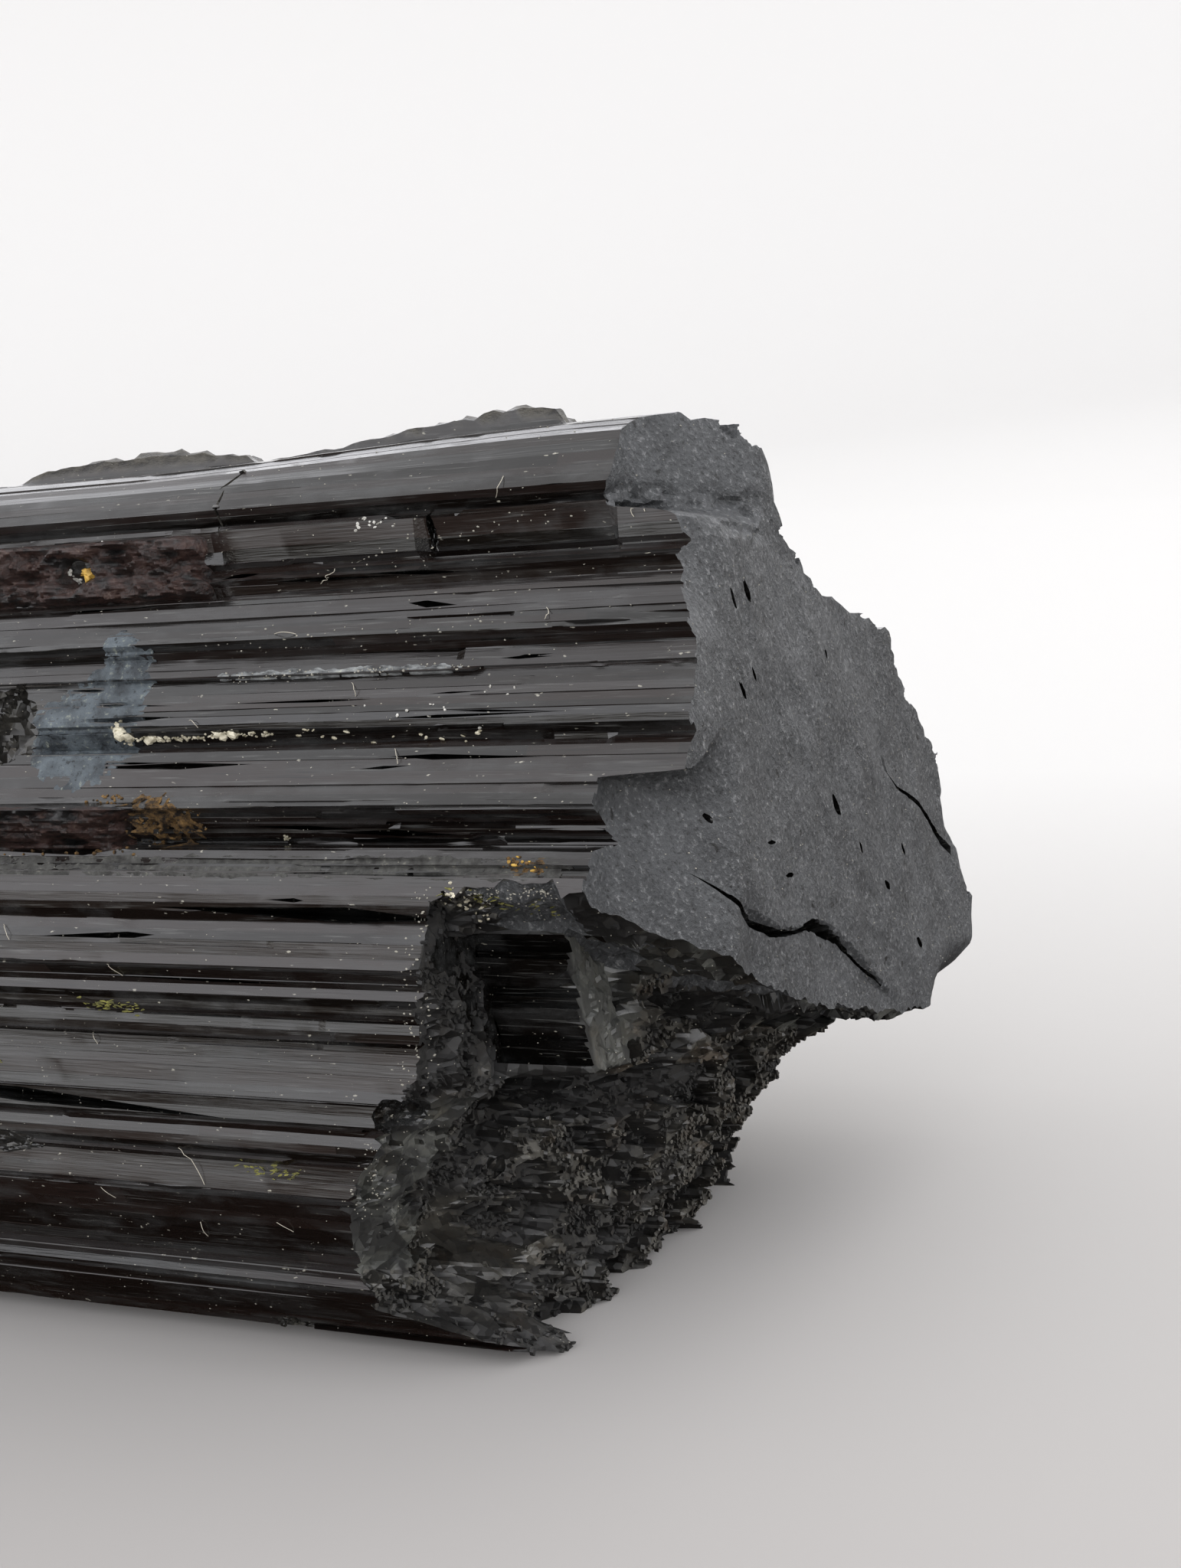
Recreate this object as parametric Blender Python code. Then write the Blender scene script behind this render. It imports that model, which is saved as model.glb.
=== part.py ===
"""Black tourmaline crystal, lying on its side.

One prism with deep lengthwise striations. Its right end is broken in two levels: a dull cross break
above, and a coarse break set back into the lower corner. The left end is a plain cross break.

The cross-section is drawn in its own axes, out towards the front and up, in millimetres. The prism
runs along +X. At the end the section is turned back by LEAN, so that its flat foot lies level.
"""
import math
import random

import bmesh
import bpy
from mathutils import Matrix, Vector, noise

for item in list(bpy.data.objects):
    bpy.data.objects.remove(item, do_unlink=True)

# Driving dimensions, in millimetres and degrees
LENGTH = 98.0
LEAN = 15.0
FOOT_UP = -34.9            # height of the foot's plane where it crosses the section's middle
AXIS_ZERO = (49.0, 2.25)   # where the section axes' zero lies, along and across, from the box's middle
OVERRUN = 9.0              # how far the uncut prism runs past each break
STATION_STEP = 4.2
SUDDEN_STATIONS = [-34.8, -17.1, -16.5, -13.9, -11.4]   # extra ones beside the sudden steps
HIDDEN_PITCH = 2.3         # usual width of a striation on the top and back
HIDDEN_DEPTH = 0.35
WAVE_FRONT = 0.18          # slow waves along the striations
WAVE_HIDDEN = 0.25

# The front, from the crest down: how far each strip drops, and how far it steps out (+) or in (-)
CREST = (17.4, 22.4)
FRONT_STRIPS = [
    (0.4, 1.8), (0.9, 1.3), (1.3, 1.1), (1.9, 1.1),                  # top rib
    (1.0, -0.9), (0.4, 0.7),                                         # brown undercut and its ledge
    (2.0, -0.3), (0.3, -0.5),                                        # block with a stepped end
    (0.9, 1.0), (0.9, -0.3), (0.7, 0.5), (1.3, 0.4), (1.1, 0.7),
    (1.0, -0.7), (1.1, 0.5), (0.2, -0.3), (1.0, 0.6), (0.5, 0.0),
    (0.9, 0.5), (0.9, 0.2), (0.8, -0.8), (0.5, 0.5),
    (2.2, 1.0), (0.6, 0.3), (0.7, 0.4),                              # broad pale flats
    (0.5, -2.3), (0.8, 0.5), (0.2, -0.5), (0.9, 0.4), (0.3, 1.6),    # deep slot with two thin ribs
    (0.8, 0.5), (1.3, 0.6), (1.1, 0.3), (0.5, -0.1), (0.6, -0.3),
    (1.2, 0.5), (1.4, 0.0),
    (1.5, -1.7), (0.6, 0.1), (0.9, -0.1), (0.6, -0.8), (1.1, 0.1),
    (0.4, -0.8), (0.4, 0.0),
    (3.1, 0.0), (0.3, -0.8), (1.3, 0.0), (0.7, -0.6), (1.2, 0.1),
    (1.0, -0.8), (1.9, 0.0), (0.6, -0.8),
    (3.0, -2.2), (2.4, -2.4),                                        # wide brown undercut
    (0.4, 0.6), (0.7, -0.3), (2.6, -3.0), (1.2, -1.6),
]

# The rest of the outline, from the front of the foot round the back and up to the crest again
FOOT_FRONT_OUT = 8.6
FOOT_BACK_OUT = -18.5
BACK_CORNERS = [(-22.4, -25.6), (-26.6, -17.0), (-28.2, -12.4), (-27.9, -8.6), (-22.2, -3.2),
                (-20.6, 2.5), (-15.8, 5.2), (-11.4, 7.6), (-9.4, 10.9), (3.0, 12.4), (9.6, 15.4),
                (11.6, 19.2), (13.8, 21.7), (17.1, 22.35)]

# Stretches of the front that stand back or proud: up from, to, softness, axial from, to, softness,
# how far out (+) or in (-), and the roughness added to it: how much, its length, its height, its layer
FRONT_FEATURES = [
    (13.9, 16.6, 0.15, -16.8, -6.0, 0.2, -0.8, 0.0, 1.0, 1.0, 0.0),       # block, right of its step
    (12.2, 16.4, 0.5, -58.0, -33.5, 1.2, -0.7, -0.9, 2.4, 1.6, 1.0),      # chipped patch left of it
    (-8.2, -7.2, 0.2, -31.0, -17.5, 3.0, -0.9, 0.0, 1.0, 1.0, 0.0),       # wedge-shaped gash
    (-3.4, -1.0, 0.3, -150.0, -37.75, 1.25, 1.1, 0.8, 2.0, 1.0, 6.0),     # filling of the deep slot
    (-40.0, -36.5, 0.4, -36.25, 50.0, 1.25, -1.2, 0.0, 1.0, 1.0, 0.0),    # worn lower front edge
]
# The crest sinks towards the left; behind it stand two low humps, the right one a wedge with a sudden end
CREST_DROP = 0.9
CREST_DROP_AXIALS = (-8.0, -45.0)
CREST_DROP_UPS = (18.5, 22.0)
HUMP_OUTS = (9.5, 11.5, 17.0, 17.35)      # where the humps rise from the back and fall to the crest
HUMP_UPS = (18.6, 20.6)
HUMPS = [(-66.0, 0.0), (-63.0, 0.8), (-58.5, 0.6), (-57.0, 0.0), (-55.0, 0.0), (-52.4, 1.2),
         (-43.8, 1.75), (-38.2, 1.4), (-35.6, 1.0), (-34.6, 0.25), (-28.8, 0.6), (-20.8, 1.35),
         (-13.9, 1.7), (-12.2, 1.2), (-11.4, 0.0)]                 # axial, height

# The right end. Axial places are measured from the middle of its upper, dull break.
# How far stretches of the upper break are set back: depth, out from, to, up from, to
UPPER_SET_BACK = [
    (6.0, 12.0, 21.0, 15.6, 16.8),         # end of the top rib
    (5.4, 17.0, 24.5, 1.6, -1.8),          # front below the deep slot
    (1.6, 19.0, 24.0, 8.0, 14.5),          # front edge under the top rib
    (-1.6, 19.0, 24.0, 15.6, 16.8),
    (6.0, -17.0, -27.0, -11.5, -18.5),     # lower back corner
]
# The ledge under that break, as out, up pairs from the back to the front
LEDGE = [(-28.6, -13.4), (-26.4, -15.6), (-22.8, -16.5), (-9.7, -15.9), (4.6, -14.2), (15.0, -11.6),
         (27.0, -6.2)]
# Where the outermost layer of the front ends, as up, axial pairs
OUTER_LAYER_END = [(-36.8, -16.6), (-35.0, -24.5), (-31.0, -27.0), (-26.0, -25.0), (-21.5, -21.5),
                   (-18.0, -17.4), (-12.0, -16.8), (-6.0, -15.4)]
OUTER_LAYER = 5.5              # its thickness, in from the front
LAYER_SLANT = 0.45             # how much further right its end reaches for each millimetre in
LOWER_BREAK = -6.5             # the coarse lower break, just under the ledge
LOWER_SLOPE = 0.43             # how fast it runs back for each millimetre down
# How far stretches of the lower break are set back: depth, out from, to, drop below the ledge from, to
LOWER_SET_BACK = [
    (5.5, -8.0, -18.0, -1.0, 0.0),         # back
    (-3.3, -8.0, -18.0, 9.0, 15.0),
    (1.8, -50.0, -49.0, 5.0, 12.0),        # lower half
]
FRONT_SLANT = 0.55             # and for each millimetre towards the front, in front of SLANT_START
SLANT_START = 5.0
INNER_END = -9.5               # end of the striated block behind the outer layer
BLOCK_OUTS = (12.5, 23.0)
BLOCK_FOOT = -17.5
BLOCK_TOP = -8.0
CAVITY_OUTS = (10.5, 19.0)     # cavity under that block
CAVITY_HEIGHT = 2.7
CAVITY_DEPTH = 3.5
# Fracture of each broken face: size of its planes, height, tilt, layer of the pattern
UPPER_FRACTURE = (9.0, 0.35, 0.07, 1.0)
LEDGE_FRACTURE = (5.0, 0.5, 0.12, 8.0)
LOWER_FRACTURE = (5.0, 0.7, 0.22, 5.0)
LAYER_FRACTURE = (3.0, 0.5, 0.3, 7.0)
LEFT_FRACTURE = (11.0, 0.4, 0.06, 12.0)
BREAK_COLUMNS = 30
BREAK_REACH = 36.0             # the cutters reach this far out and back,
CUTTER_TOP = 30.0              # this high
CUTTER_FOOT = -44.0            # and this low
UPPER_ROWS = 13
LEDGE_ROWS = 4
LOWER_ROWS = 14
LEFT_ROWS = 10

rng = random.Random(1703)


def smooth(low, high, value):
    """Rises from 0 at low to 1 at high."""
    t = min(max((value - low) / (high - low), 0.0), 1.0)
    return t * t * (3.0 - 2.0 * t)


def window(low, high, value, soft):
    """1 between low and high, with soft edges."""
    return smooth(low - soft, low + soft, value) * (1.0 - smooth(high - soft, high + soft, value))


def along(pairs, value):
    """Straight-line reading between hand-set pairs."""
    for (low, first), (high, last) in zip(pairs, pairs[1:]):
        if value <= high:
            return first + (last - first) * min(max((value - low) / (high - low), 0.0), 1.0)
    return pairs[-1][1]


def foot_height(out):
    """The section's up coordinate of the flat foot, level once the section is turned by LEAN."""
    return FOOT_UP - out * math.tan(math.radians(LEAN))


def striated(start, end):
    """Points from start up to, not including, end, alternately proud and sunk like striations."""
    run = Vector(end) - Vector(start)
    side = Vector((run.y, -run.x)).normalized()
    count = max(1, round(run.length / HIDDEN_PITCH))
    points = [Vector(start)]
    for index in range(1, count):
        share = (index + rng.uniform(-0.28, 0.28)) / count
        proud = HIDDEN_DEPTH * rng.uniform(0.3, 1.0) * (1 if index % 2 else -1)
        points.append(Vector(start) + run * share + side * proud)
    return [tuple(point) for point in points]


def front_outline():
    """The front of the cross-section as out, up pairs, from the crest down."""
    out, up = CREST
    points = [CREST]
    for drop, step in FRONT_STRIPS:
        out += step
        up -= drop
        points.append((out, up))
    return points


def section_outline():
    """The whole cross-section as out, up pairs, from the crest down the front and round the back."""
    points = front_outline()
    front_count = len(points)
    corners = [(FOOT_FRONT_OUT, foot_height(FOOT_FRONT_OUT)), (FOOT_BACK_OUT, foot_height(FOOT_BACK_OUT))]
    points += corners
    hidden = [corners[-1]] + BACK_CORNERS + [CREST]
    for start, end in zip(hidden, hidden[1:]):
        points += striated(start, end)
    points.remove(corners[-1])
    return points, front_count


def relief(axial, out, up, on_front):
    """How far the surface is moved, out and up, at one point of the prism."""
    move_out, move_up = 0.0, 0.0
    wave = noise.noise(Vector((axial / 21.0, up / 5.0, 3.0 if on_front else 9.0)))
    if on_front:
        move_out += WAVE_FRONT * wave
        for (low_up, high_up, soft_up, low_axial, high_axial, soft_axial,
             shift, rough, length, height, layer) in FRONT_FEATURES:
            weight = window(low_up, high_up, up, soft_up) * window(low_axial, high_axial, axial, soft_axial)
            roughness = rough * noise.noise(Vector((axial / length, up / height, layer)))
            move_out += weight * (shift + roughness)
    move_up -= CREST_DROP * smooth(*CREST_DROP_AXIALS, axial) * smooth(*CREST_DROP_UPS, up)
    back_foot, back_top, front_top, front_foot = HUMP_OUTS
    crest = smooth(back_foot, back_top, out) * smooth(front_foot, front_top, out) * smooth(*HUMP_UPS, up)
    move_up += crest * along(HUMPS, axial)
    on_foot = abs(up - foot_height(out)) < 0.01
    if not on_front and not on_foot:
        move_up += WAVE_HIDDEN * wave
    return move_out, move_up


def new_mesh_object(name, bm):
    bmesh.ops.recalc_face_normals(bm, faces=bm.faces)
    mesh = bpy.data.meshes.new(name)
    bm.to_mesh(mesh)
    bm.free()
    body = bpy.data.objects.new(name, mesh)
    bpy.context.scene.collection.objects.link(body)
    return body


def striated_prism():
    """The prism, longer than the crystal at both ends, as a loft of the section along the axis."""
    points, front_count = section_outline()
    start, end = -LENGTH - OVERRUN, OVERRUN
    steps = round((end - start) / STATION_STEP)
    stations = [start + (end - start) * index / steps for index in range(steps + 1)]
    bm = bmesh.new()
    rings = []
    for axial in sorted(stations + SUDDEN_STATIONS):
        ring = []
        for index, (out, up) in enumerate(points):
            move_out, move_up = relief(axial, out, up, index < front_count)
            ring.append(bm.verts.new((axial, out + move_out, up + move_up)))
        rings.append(ring)
    for left, right in zip(rings, rings[1:]):
        for index in range(len(points)):
            after = (index + 1) % len(points)
            bm.faces.new((left[index], left[after], right[after], right[index]))
    caps = [bm.faces.new(rings[0]), bm.faces.new(rings[-1])]
    bmesh.ops.triangulate(bm, faces=caps)
    return new_mesh_object("tourmaline_crystal", bm)


def blocky(a, b, cell, height, tilt, layer):
    """Fracture made of small tilted planes, one for each cell of an uneven pattern."""
    spot = Vector((a / cell, b / cell, layer))
    centre = noise.voronoi(spot)[1][0]
    chance = noise.cell_vector(centre * 37.0) - Vector((0.5, 0.5, 0.5))
    slope = (spot.x - centre.x) * chance.x + (spot.y - centre.y) * chance.y
    return 2.0 * height * chance.z + 2.0 * tilt * cell * slope


FRONT_DEPTH = sorted((up, out) for out, up in front_outline())


def set_back(stretches, out, down):
    """How far a break is set back in all, from a list of stretches."""
    return sum(depth * smooth(low_out, high_out, out) * smooth(low, high, down)
               for depth, low_out, high_out, low, high in stretches)


def upper_break(out, up):
    """Axial place of the dull upper break: nearly flat, dished back at the top rib and the front."""
    return blocky(out, up, *UPPER_FRACTURE) - set_back(UPPER_SET_BACK, out, up)


def lower_break(out, up):
    """Axial place of the coarse lower break, which runs back and down from under the ledge."""
    drop = along(LEDGE, out) - up
    axial = LOWER_BREAK - LOWER_SLOPE * max(drop, 0.0) - set_back(LOWER_SET_BACK, out, drop)
    under_block = 1.0 - smooth(BLOCK_FOOT - 1.5, BLOCK_FOOT + 0.5, up)
    axial -= FRONT_SLANT * max(out - SLANT_START, 0.0) * under_block
    axial += blocky(out, up, *LOWER_FRACTURE)
    inner = window(*BLOCK_OUTS, out, 0.8) * window(BLOCK_FOOT + 0.7, BLOCK_TOP, up, 0.6)
    axial += (INNER_END - axial) * inner
    cavity = window(*CAVITY_OUTS, out, 1.5) * window(BLOCK_FOOT - CAVITY_HEIGHT, BLOCK_FOOT, up, 0.7)
    axial -= CAVITY_DEPTH * cavity
    front = along(FRONT_DEPTH, up)
    outer = smooth(front - OUTER_LAYER - 0.8 - 1.2 * under_block, front - OUTER_LAYER + 0.8, out)
    layer_end = along(OUTER_LAYER_END, up) + LAYER_SLANT * max(front - out, 0.0)
    return axial + (layer_end + blocky(out, up, *LAYER_FRACTURE) - axial) * outer


def right_break_profile(out):
    """The break as seen from the front at one out: down the upper face, in along the ledge, down."""
    top = along(LEDGE, out)
    profile = []
    for index in range(UPPER_ROWS + 1):
        up = CUTTER_TOP + (top - CUTTER_TOP) * index / UPPER_ROWS
        profile.append((upper_break(out, up), up))
    corner, inner = profile[-1][0], lower_break(out, top)
    for index in range(1, LEDGE_ROWS):
        axial = corner + (inner - corner) * index / LEDGE_ROWS
        profile.append((axial, top + blocky(axial, out, *LEDGE_FRACTURE)))
    for index in range(LOWER_ROWS + 1):
        up = top + (CUTTER_FOOT - top) * index / LOWER_ROWS
        profile.append((lower_break(out, up), up))
    return profile


def left_break_profile(out):
    """A plain cross break, slightly uneven."""
    profile = []
    for index in range(LEFT_ROWS + 1):
        up = CUTTER_TOP + (CUTTER_FOOT - CUTTER_TOP) * index / LEFT_ROWS
        profile.append((-LENGTH + blocky(out, up, *LEFT_FRACTURE), up))
    return profile


def break_cutter(name, profile_at, far):
    """Closed cutter between a broken face and the plane at axial far."""
    bm = bmesh.new()
    columns = []
    for index in range(BREAK_COLUMNS + 1):
        out = BREAK_REACH * (2.0 * index / BREAK_COLUMNS - 1.0)
        columns.append([bm.verts.new((axial, out, up)) for axial, up in profile_at(out)])
    for left, right in zip(columns, columns[1:]):
        for index in range(len(left) - 1):
            bm.faces.new((left[index], left[index + 1], right[index + 1], right[index]))
    edges = []
    for column in (columns[0], columns[-1]):
        top = bm.verts.new((far, column[0].co.y, column[0].co.z))
        foot = bm.verts.new((far, column[0].co.y, column[-1].co.z))
        bm.faces.new(column + [foot, top])
        edges.append((top, foot))
    (top_a, foot_a), (top_b, foot_b) = edges
    bm.faces.new((top_a, foot_a, foot_b, top_b))
    bm.faces.new([column[0] for column in columns] + [top_b, top_a])
    bm.faces.new([column[-1] for column in columns] + [foot_b, foot_a])
    bmesh.ops.triangulate(bm, faces=bm.faces)
    cutter = new_mesh_object(name, bm)
    cutter.hide_render = True
    cutter.display_type = "WIRE"
    return cutter


def cut(body, cutter):
    """Takes the cutter's solid away from the body."""
    modifier = body.modifiers.new("break", "BOOLEAN")
    modifier.operation = "DIFFERENCE"
    modifier.solver = "EXACT"
    modifier.object = cutter


def stand_on_foot(body):
    """Applies the cuts, turns the section by LEAN and puts the foot level at height zero."""
    depsgraph = bpy.context.evaluated_depsgraph_get()
    mesh = bpy.data.meshes.new_from_object(body.evaluated_get(depsgraph))
    body.modifiers.clear()
    body.data = mesh
    lean = math.radians(LEAN)
    turned = Matrix(((1, 0, 0, AXIS_ZERO[0]),
                     (0, -math.cos(lean), math.sin(lean), AXIS_ZERO[1]),
                     (0, math.sin(lean), math.cos(lean), -FOOT_UP * math.cos(lean)),
                     (0, 0, 0, 1)))
    mesh.transform(Matrix.Scale(0.001, 4) @ turned)
    mesh.flip_normals()


def black_tourmaline():
    """Glossy black prism faces with a brown cast."""
    material = bpy.data.materials.new("black_tourmaline")
    material.use_nodes = True
    shader = material.node_tree.nodes["Principled BSDF"]
    shader.inputs["Base Color"].default_value = (0.018, 0.014, 0.013, 1.0)
    shader.inputs["Roughness"].default_value = 0.35
    shader.inputs["Metallic"].default_value = 0.0
    shader.inputs["IOR"].default_value = 1.63
    return material


crystal = striated_prism()
cut(crystal, break_cutter("right_break_cutter", right_break_profile, OVERRUN + 3.0))
cut(crystal, break_cutter("left_break_cutter", left_break_profile, -LENGTH - OVERRUN - 3.0))
stand_on_foot(crystal)
crystal.data.materials.clear()
crystal.data.materials.append(black_tourmaline())
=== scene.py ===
"""Black tourmaline crystal, photographed close up on a pale ground."""
import math
import random

import bmesh
import bpy
from mathutils import Matrix, Vector, noise
from mathutils.bvhtree import BVHTree


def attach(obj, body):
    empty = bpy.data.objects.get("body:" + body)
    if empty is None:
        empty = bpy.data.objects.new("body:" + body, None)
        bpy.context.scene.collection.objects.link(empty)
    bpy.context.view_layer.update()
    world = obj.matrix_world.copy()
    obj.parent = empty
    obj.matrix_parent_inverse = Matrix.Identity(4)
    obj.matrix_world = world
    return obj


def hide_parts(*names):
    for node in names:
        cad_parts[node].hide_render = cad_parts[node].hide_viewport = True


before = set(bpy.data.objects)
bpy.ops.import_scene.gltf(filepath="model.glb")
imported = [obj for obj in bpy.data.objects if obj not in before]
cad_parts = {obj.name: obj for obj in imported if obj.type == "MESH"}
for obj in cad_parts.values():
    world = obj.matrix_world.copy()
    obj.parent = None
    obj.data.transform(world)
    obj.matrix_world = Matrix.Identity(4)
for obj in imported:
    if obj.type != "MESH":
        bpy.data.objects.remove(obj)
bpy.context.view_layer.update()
scene = bpy.context.scene

# The camera stands close to the broken end, a little above the crystal and right of its front, so the
# striations run out of the picture on the left.
camera_data = bpy.data.cameras.new("close_up")
camera_data.lens = 52.03
camera_data.sensor_width = 36.0
camera_data.clip_start = 0.005
camera = bpy.data.objects.new("close_up", camera_data)
camera.location = (0.10200, -0.13446, 0.06979)
camera.rotation_euler = [math.radians(angle) for angle in (76.804, 7.22, 25.961)]
scene.collection.objects.link(camera)
scene.camera = camera

# The prism: one crystal of black tourmaline, grown with deep lengthwise striations of every width.
# It is drawn in its own axes, in millimetres: axial from the middle of the broken end, out towards the
# front, and up. The section leans back, so that its flat foot lies level.
LENGTH = 98.0
LEAN = math.radians(15.0)
FOOT_UP = -34.9
PLACE = Vector((49.0, 2.25, -FOOT_UP * math.cos(LEAN)))   # where the axes' zero lies in the frame
OVERRUN = 9.0
CREST = (17.4, 22.4)
FRONT_STRIPS = [                # drop and step of each strip of the front, from the crest down
    (0.4, 1.8), (0.9, 1.3), (1.3, 1.1), (1.9, 1.1), (1.0, -0.9), (0.4, 0.7), (2.0, -0.3), (0.3, -0.5),
    (0.9, 1.0), (0.9, -0.3), (0.7, 0.5), (1.3, 0.4), (1.1, 0.7), (1.0, -0.7), (1.1, 0.5), (0.2, -0.3),
    (1.0, 0.6), (0.5, 0.0), (0.9, 0.5), (0.9, 0.2), (0.8, -0.8), (0.5, 0.5), (2.2, 1.0), (0.6, 0.3),
    (0.7, 0.4), (0.4, -1.0), (0.9, -1.0), (0.1, 0.3), (0.9, -1.1), (0.1, 0.3), (0.3, 2.2), (0.8, 0.5),
    (1.3, 0.6), (1.1, 0.3), (0.5, -0.1), (0.6, -0.3), (1.2, 0.5), (1.4, 0.0), (1.5, -1.7), (0.6, 0.1),
    (0.9, -0.1), (0.6, -0.8), (1.1, 0.1), (0.4, -0.8), (0.4, 0.0), (3.1, 0.0), (0.3, -0.8), (1.3, 0.0),
    (0.7, -0.6), (1.2, 0.1), (1.0, -0.8), (1.9, 0.0), (0.6, -0.8), (3.0, -2.2), (2.4, -2.4), (0.3, 0.35),
    (0.45, 0.3), (0.4, -0.35), (2.6, -3.0), (1.2, -1.6),
]
FOOT_FRONT_OUT = 8.6
FOOT_BACK_OUT = -18.5
BACK_CORNERS = [(-22.4, -25.6), (-26.6, -17.0), (-28.2, -12.4), (-27.9, -8.6), (-22.2, -3.2),
                (-20.6, 2.5), (-15.8, 5.2), (-11.4, 7.6), (-9.4, 10.9), (3.0, 12.4), (9.6, 15.4),
                (11.6, 19.2), (13.8, 21.7), (16.6, 22.25), (17.1, 22.35), (17.25, 22.38)]
# Stretches of the front that stand back or proud: up from, to, softness, axial from, to, softness,
# how far out (+) or in (-), the roughness added to it (how much, its length, its height, its layer), and
# how much it faces down
FRONT_FEATURES = [
    (13.9, 16.6, 0.15, -19.0, -6.0, 0.2, -0.8, 0.0, 1.0, 1.0, 0.0, 0.28),      # block, right of its step
    (12.2, 16.4, 0.5, -58.0, -33.5, 1.2, -0.7, -0.9, 2.4, 1.6, 1.0, 0.0),      # chipped patch left of it
    (-3.4, -1.0, 0.3, -150.0, -37.75, 1.25, 1.1, 0.8, 2.0, 1.0, 6.0, 0.0),     # filling of the deep slot
    (-40.0, -36.5, 0.4, -36.25, 50.0, 1.25, -1.2, 0.0, 1.0, 1.0, 0.0, 0.0),    # worn lower front edge
]
# The crest sinks towards the left; behind it stand two low humps, the right one a wedge with a sudden end
CREST_DROP = 0.9
CREST_DROP_AXIALS = (-8.0, -45.0)
HUMPS = [(-66.0, 0.0), (-63.0, 0.8), (-58.5, 0.6), (-57.0, 0.0), (-55.0, 0.0), (-52.4, 1.2),
         (-43.8, 1.75), (-38.2, 1.4), (-35.6, 1.0), (-34.6, 0.25), (-28.8, 0.6), (-20.8, 1.35),
         (-13.9, 1.7), (-12.2, 1.2), (-11.4, 0.0)]                 # axial, height
HIDDEN_PITCH = 2.3              # usual width of a striation on the top and back
HIDDEN_DEPTH = 0.35
WAVE_FRONT = 0.18               # slow waves along the striations
WAVE_HIDDEN = 0.25
# Fine striations that cover every strip: width, depth, chance of a missing sliver, share that faces down
FINE_BLADES = (0.52, 0.075, 0.16, 0.25)
BROAD_BLADES = (0.85, 0.02, 0.05, 0.08)     # on the broad flats of the front and on the top rib
UNDERCUT_BLADES = (1.2, 0.012, 0.0, 0.0)    # on the widest strips
BACK_FINE_PITCH = 0.8
BROAD_STRIP = 1.5
WIDEST_STRIP = 3.3
TOP_RIB_FOOT = 17.5
NICK = 0.06                     # how deep the edges of the strips are nicked
EDGE = 0.012                    # half the gap between the edges of neighbouring fine striations
STATION_STEP = 0.7
FIRST_FINE_STATION = -67.0      # left of this the prism is out of the picture
LAST_FINE_STATION = 2.5
FAR_STATION_STEP = 3.0
SUDDEN_STATIONS = [-34.8, -19.3, -18.8, -13.9, -12.2, -11.8, -11.4]    # extra ones beside sudden steps

rng = random.Random(1703)
fine_rng = random.Random(88)


def smooth(low, high, value):
    """Rises from 0 at low to 1 at high."""
    t = min(max((value - low) / (high - low), 0.0), 1.0)
    return t * t * (3.0 - 2.0 * t)


def window(low, high, value, soft):
    """1 between low and high, with soft edges."""
    return smooth(low - soft, low + soft, value) * (1.0 - smooth(high - soft, high + soft, value))


def along(pairs, value):
    """Straight-line reading between listed pairs."""
    for (low, first), (high, last) in zip(pairs, pairs[1:]):
        if value <= high:
            return first + (last - first) * min(max((value - low) / (high - low), 0.0), 1.0)
    return pairs[-1][1]


def foot_height(out):
    """The section's up coordinate of the flat foot, level once the section leans back."""
    return FOOT_UP - out * math.tan(LEAN)


def striated(start, end):
    """Points from start up to, not including, end, alternately proud and sunk like striations."""
    run = Vector(end) - Vector(start)
    side = Vector((run.y, -run.x)).normalized()
    count = max(1, round(run.length / HIDDEN_PITCH))
    points = [Vector(start)]
    for index in range(1, count):
        share = (index + rng.uniform(-0.28, 0.28)) / count
        proud = HIDDEN_DEPTH * rng.uniform(0.3, 1.0) * (1 if index % 2 else -1)
        points.append(Vector(start) + run * share + side * proud)
    return [tuple(point) for point in points]


def front_outline():
    """The front of the cross-section as out, up pairs, from the crest down."""
    out, up = CREST
    points = [CREST]
    for drop, step in FRONT_STRIPS:
        out += step
        up -= drop
        points.append((out, up))
    return points


def section_outline():
    """The whole cross-section, from the crest down the front and round the back."""
    points = front_outline()
    front_count = len(points)
    corners = [(FOOT_FRONT_OUT, foot_height(FOOT_FRONT_OUT)), (FOOT_BACK_OUT, foot_height(FOOT_BACK_OUT))]
    points += corners
    hidden = [corners[-1]] + BACK_CORNERS + [CREST]
    for start, end in zip(hidden, hidden[1:]):
        points += striated(start, end)
    points.remove(corners[-1])
    return points, front_count


def wavy(axial, up, length, height, layer):
    """Noise between -1 and 1 that is stretched along the prism."""
    return noise.noise(Vector((axial / length, up / height, layer)))


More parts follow.
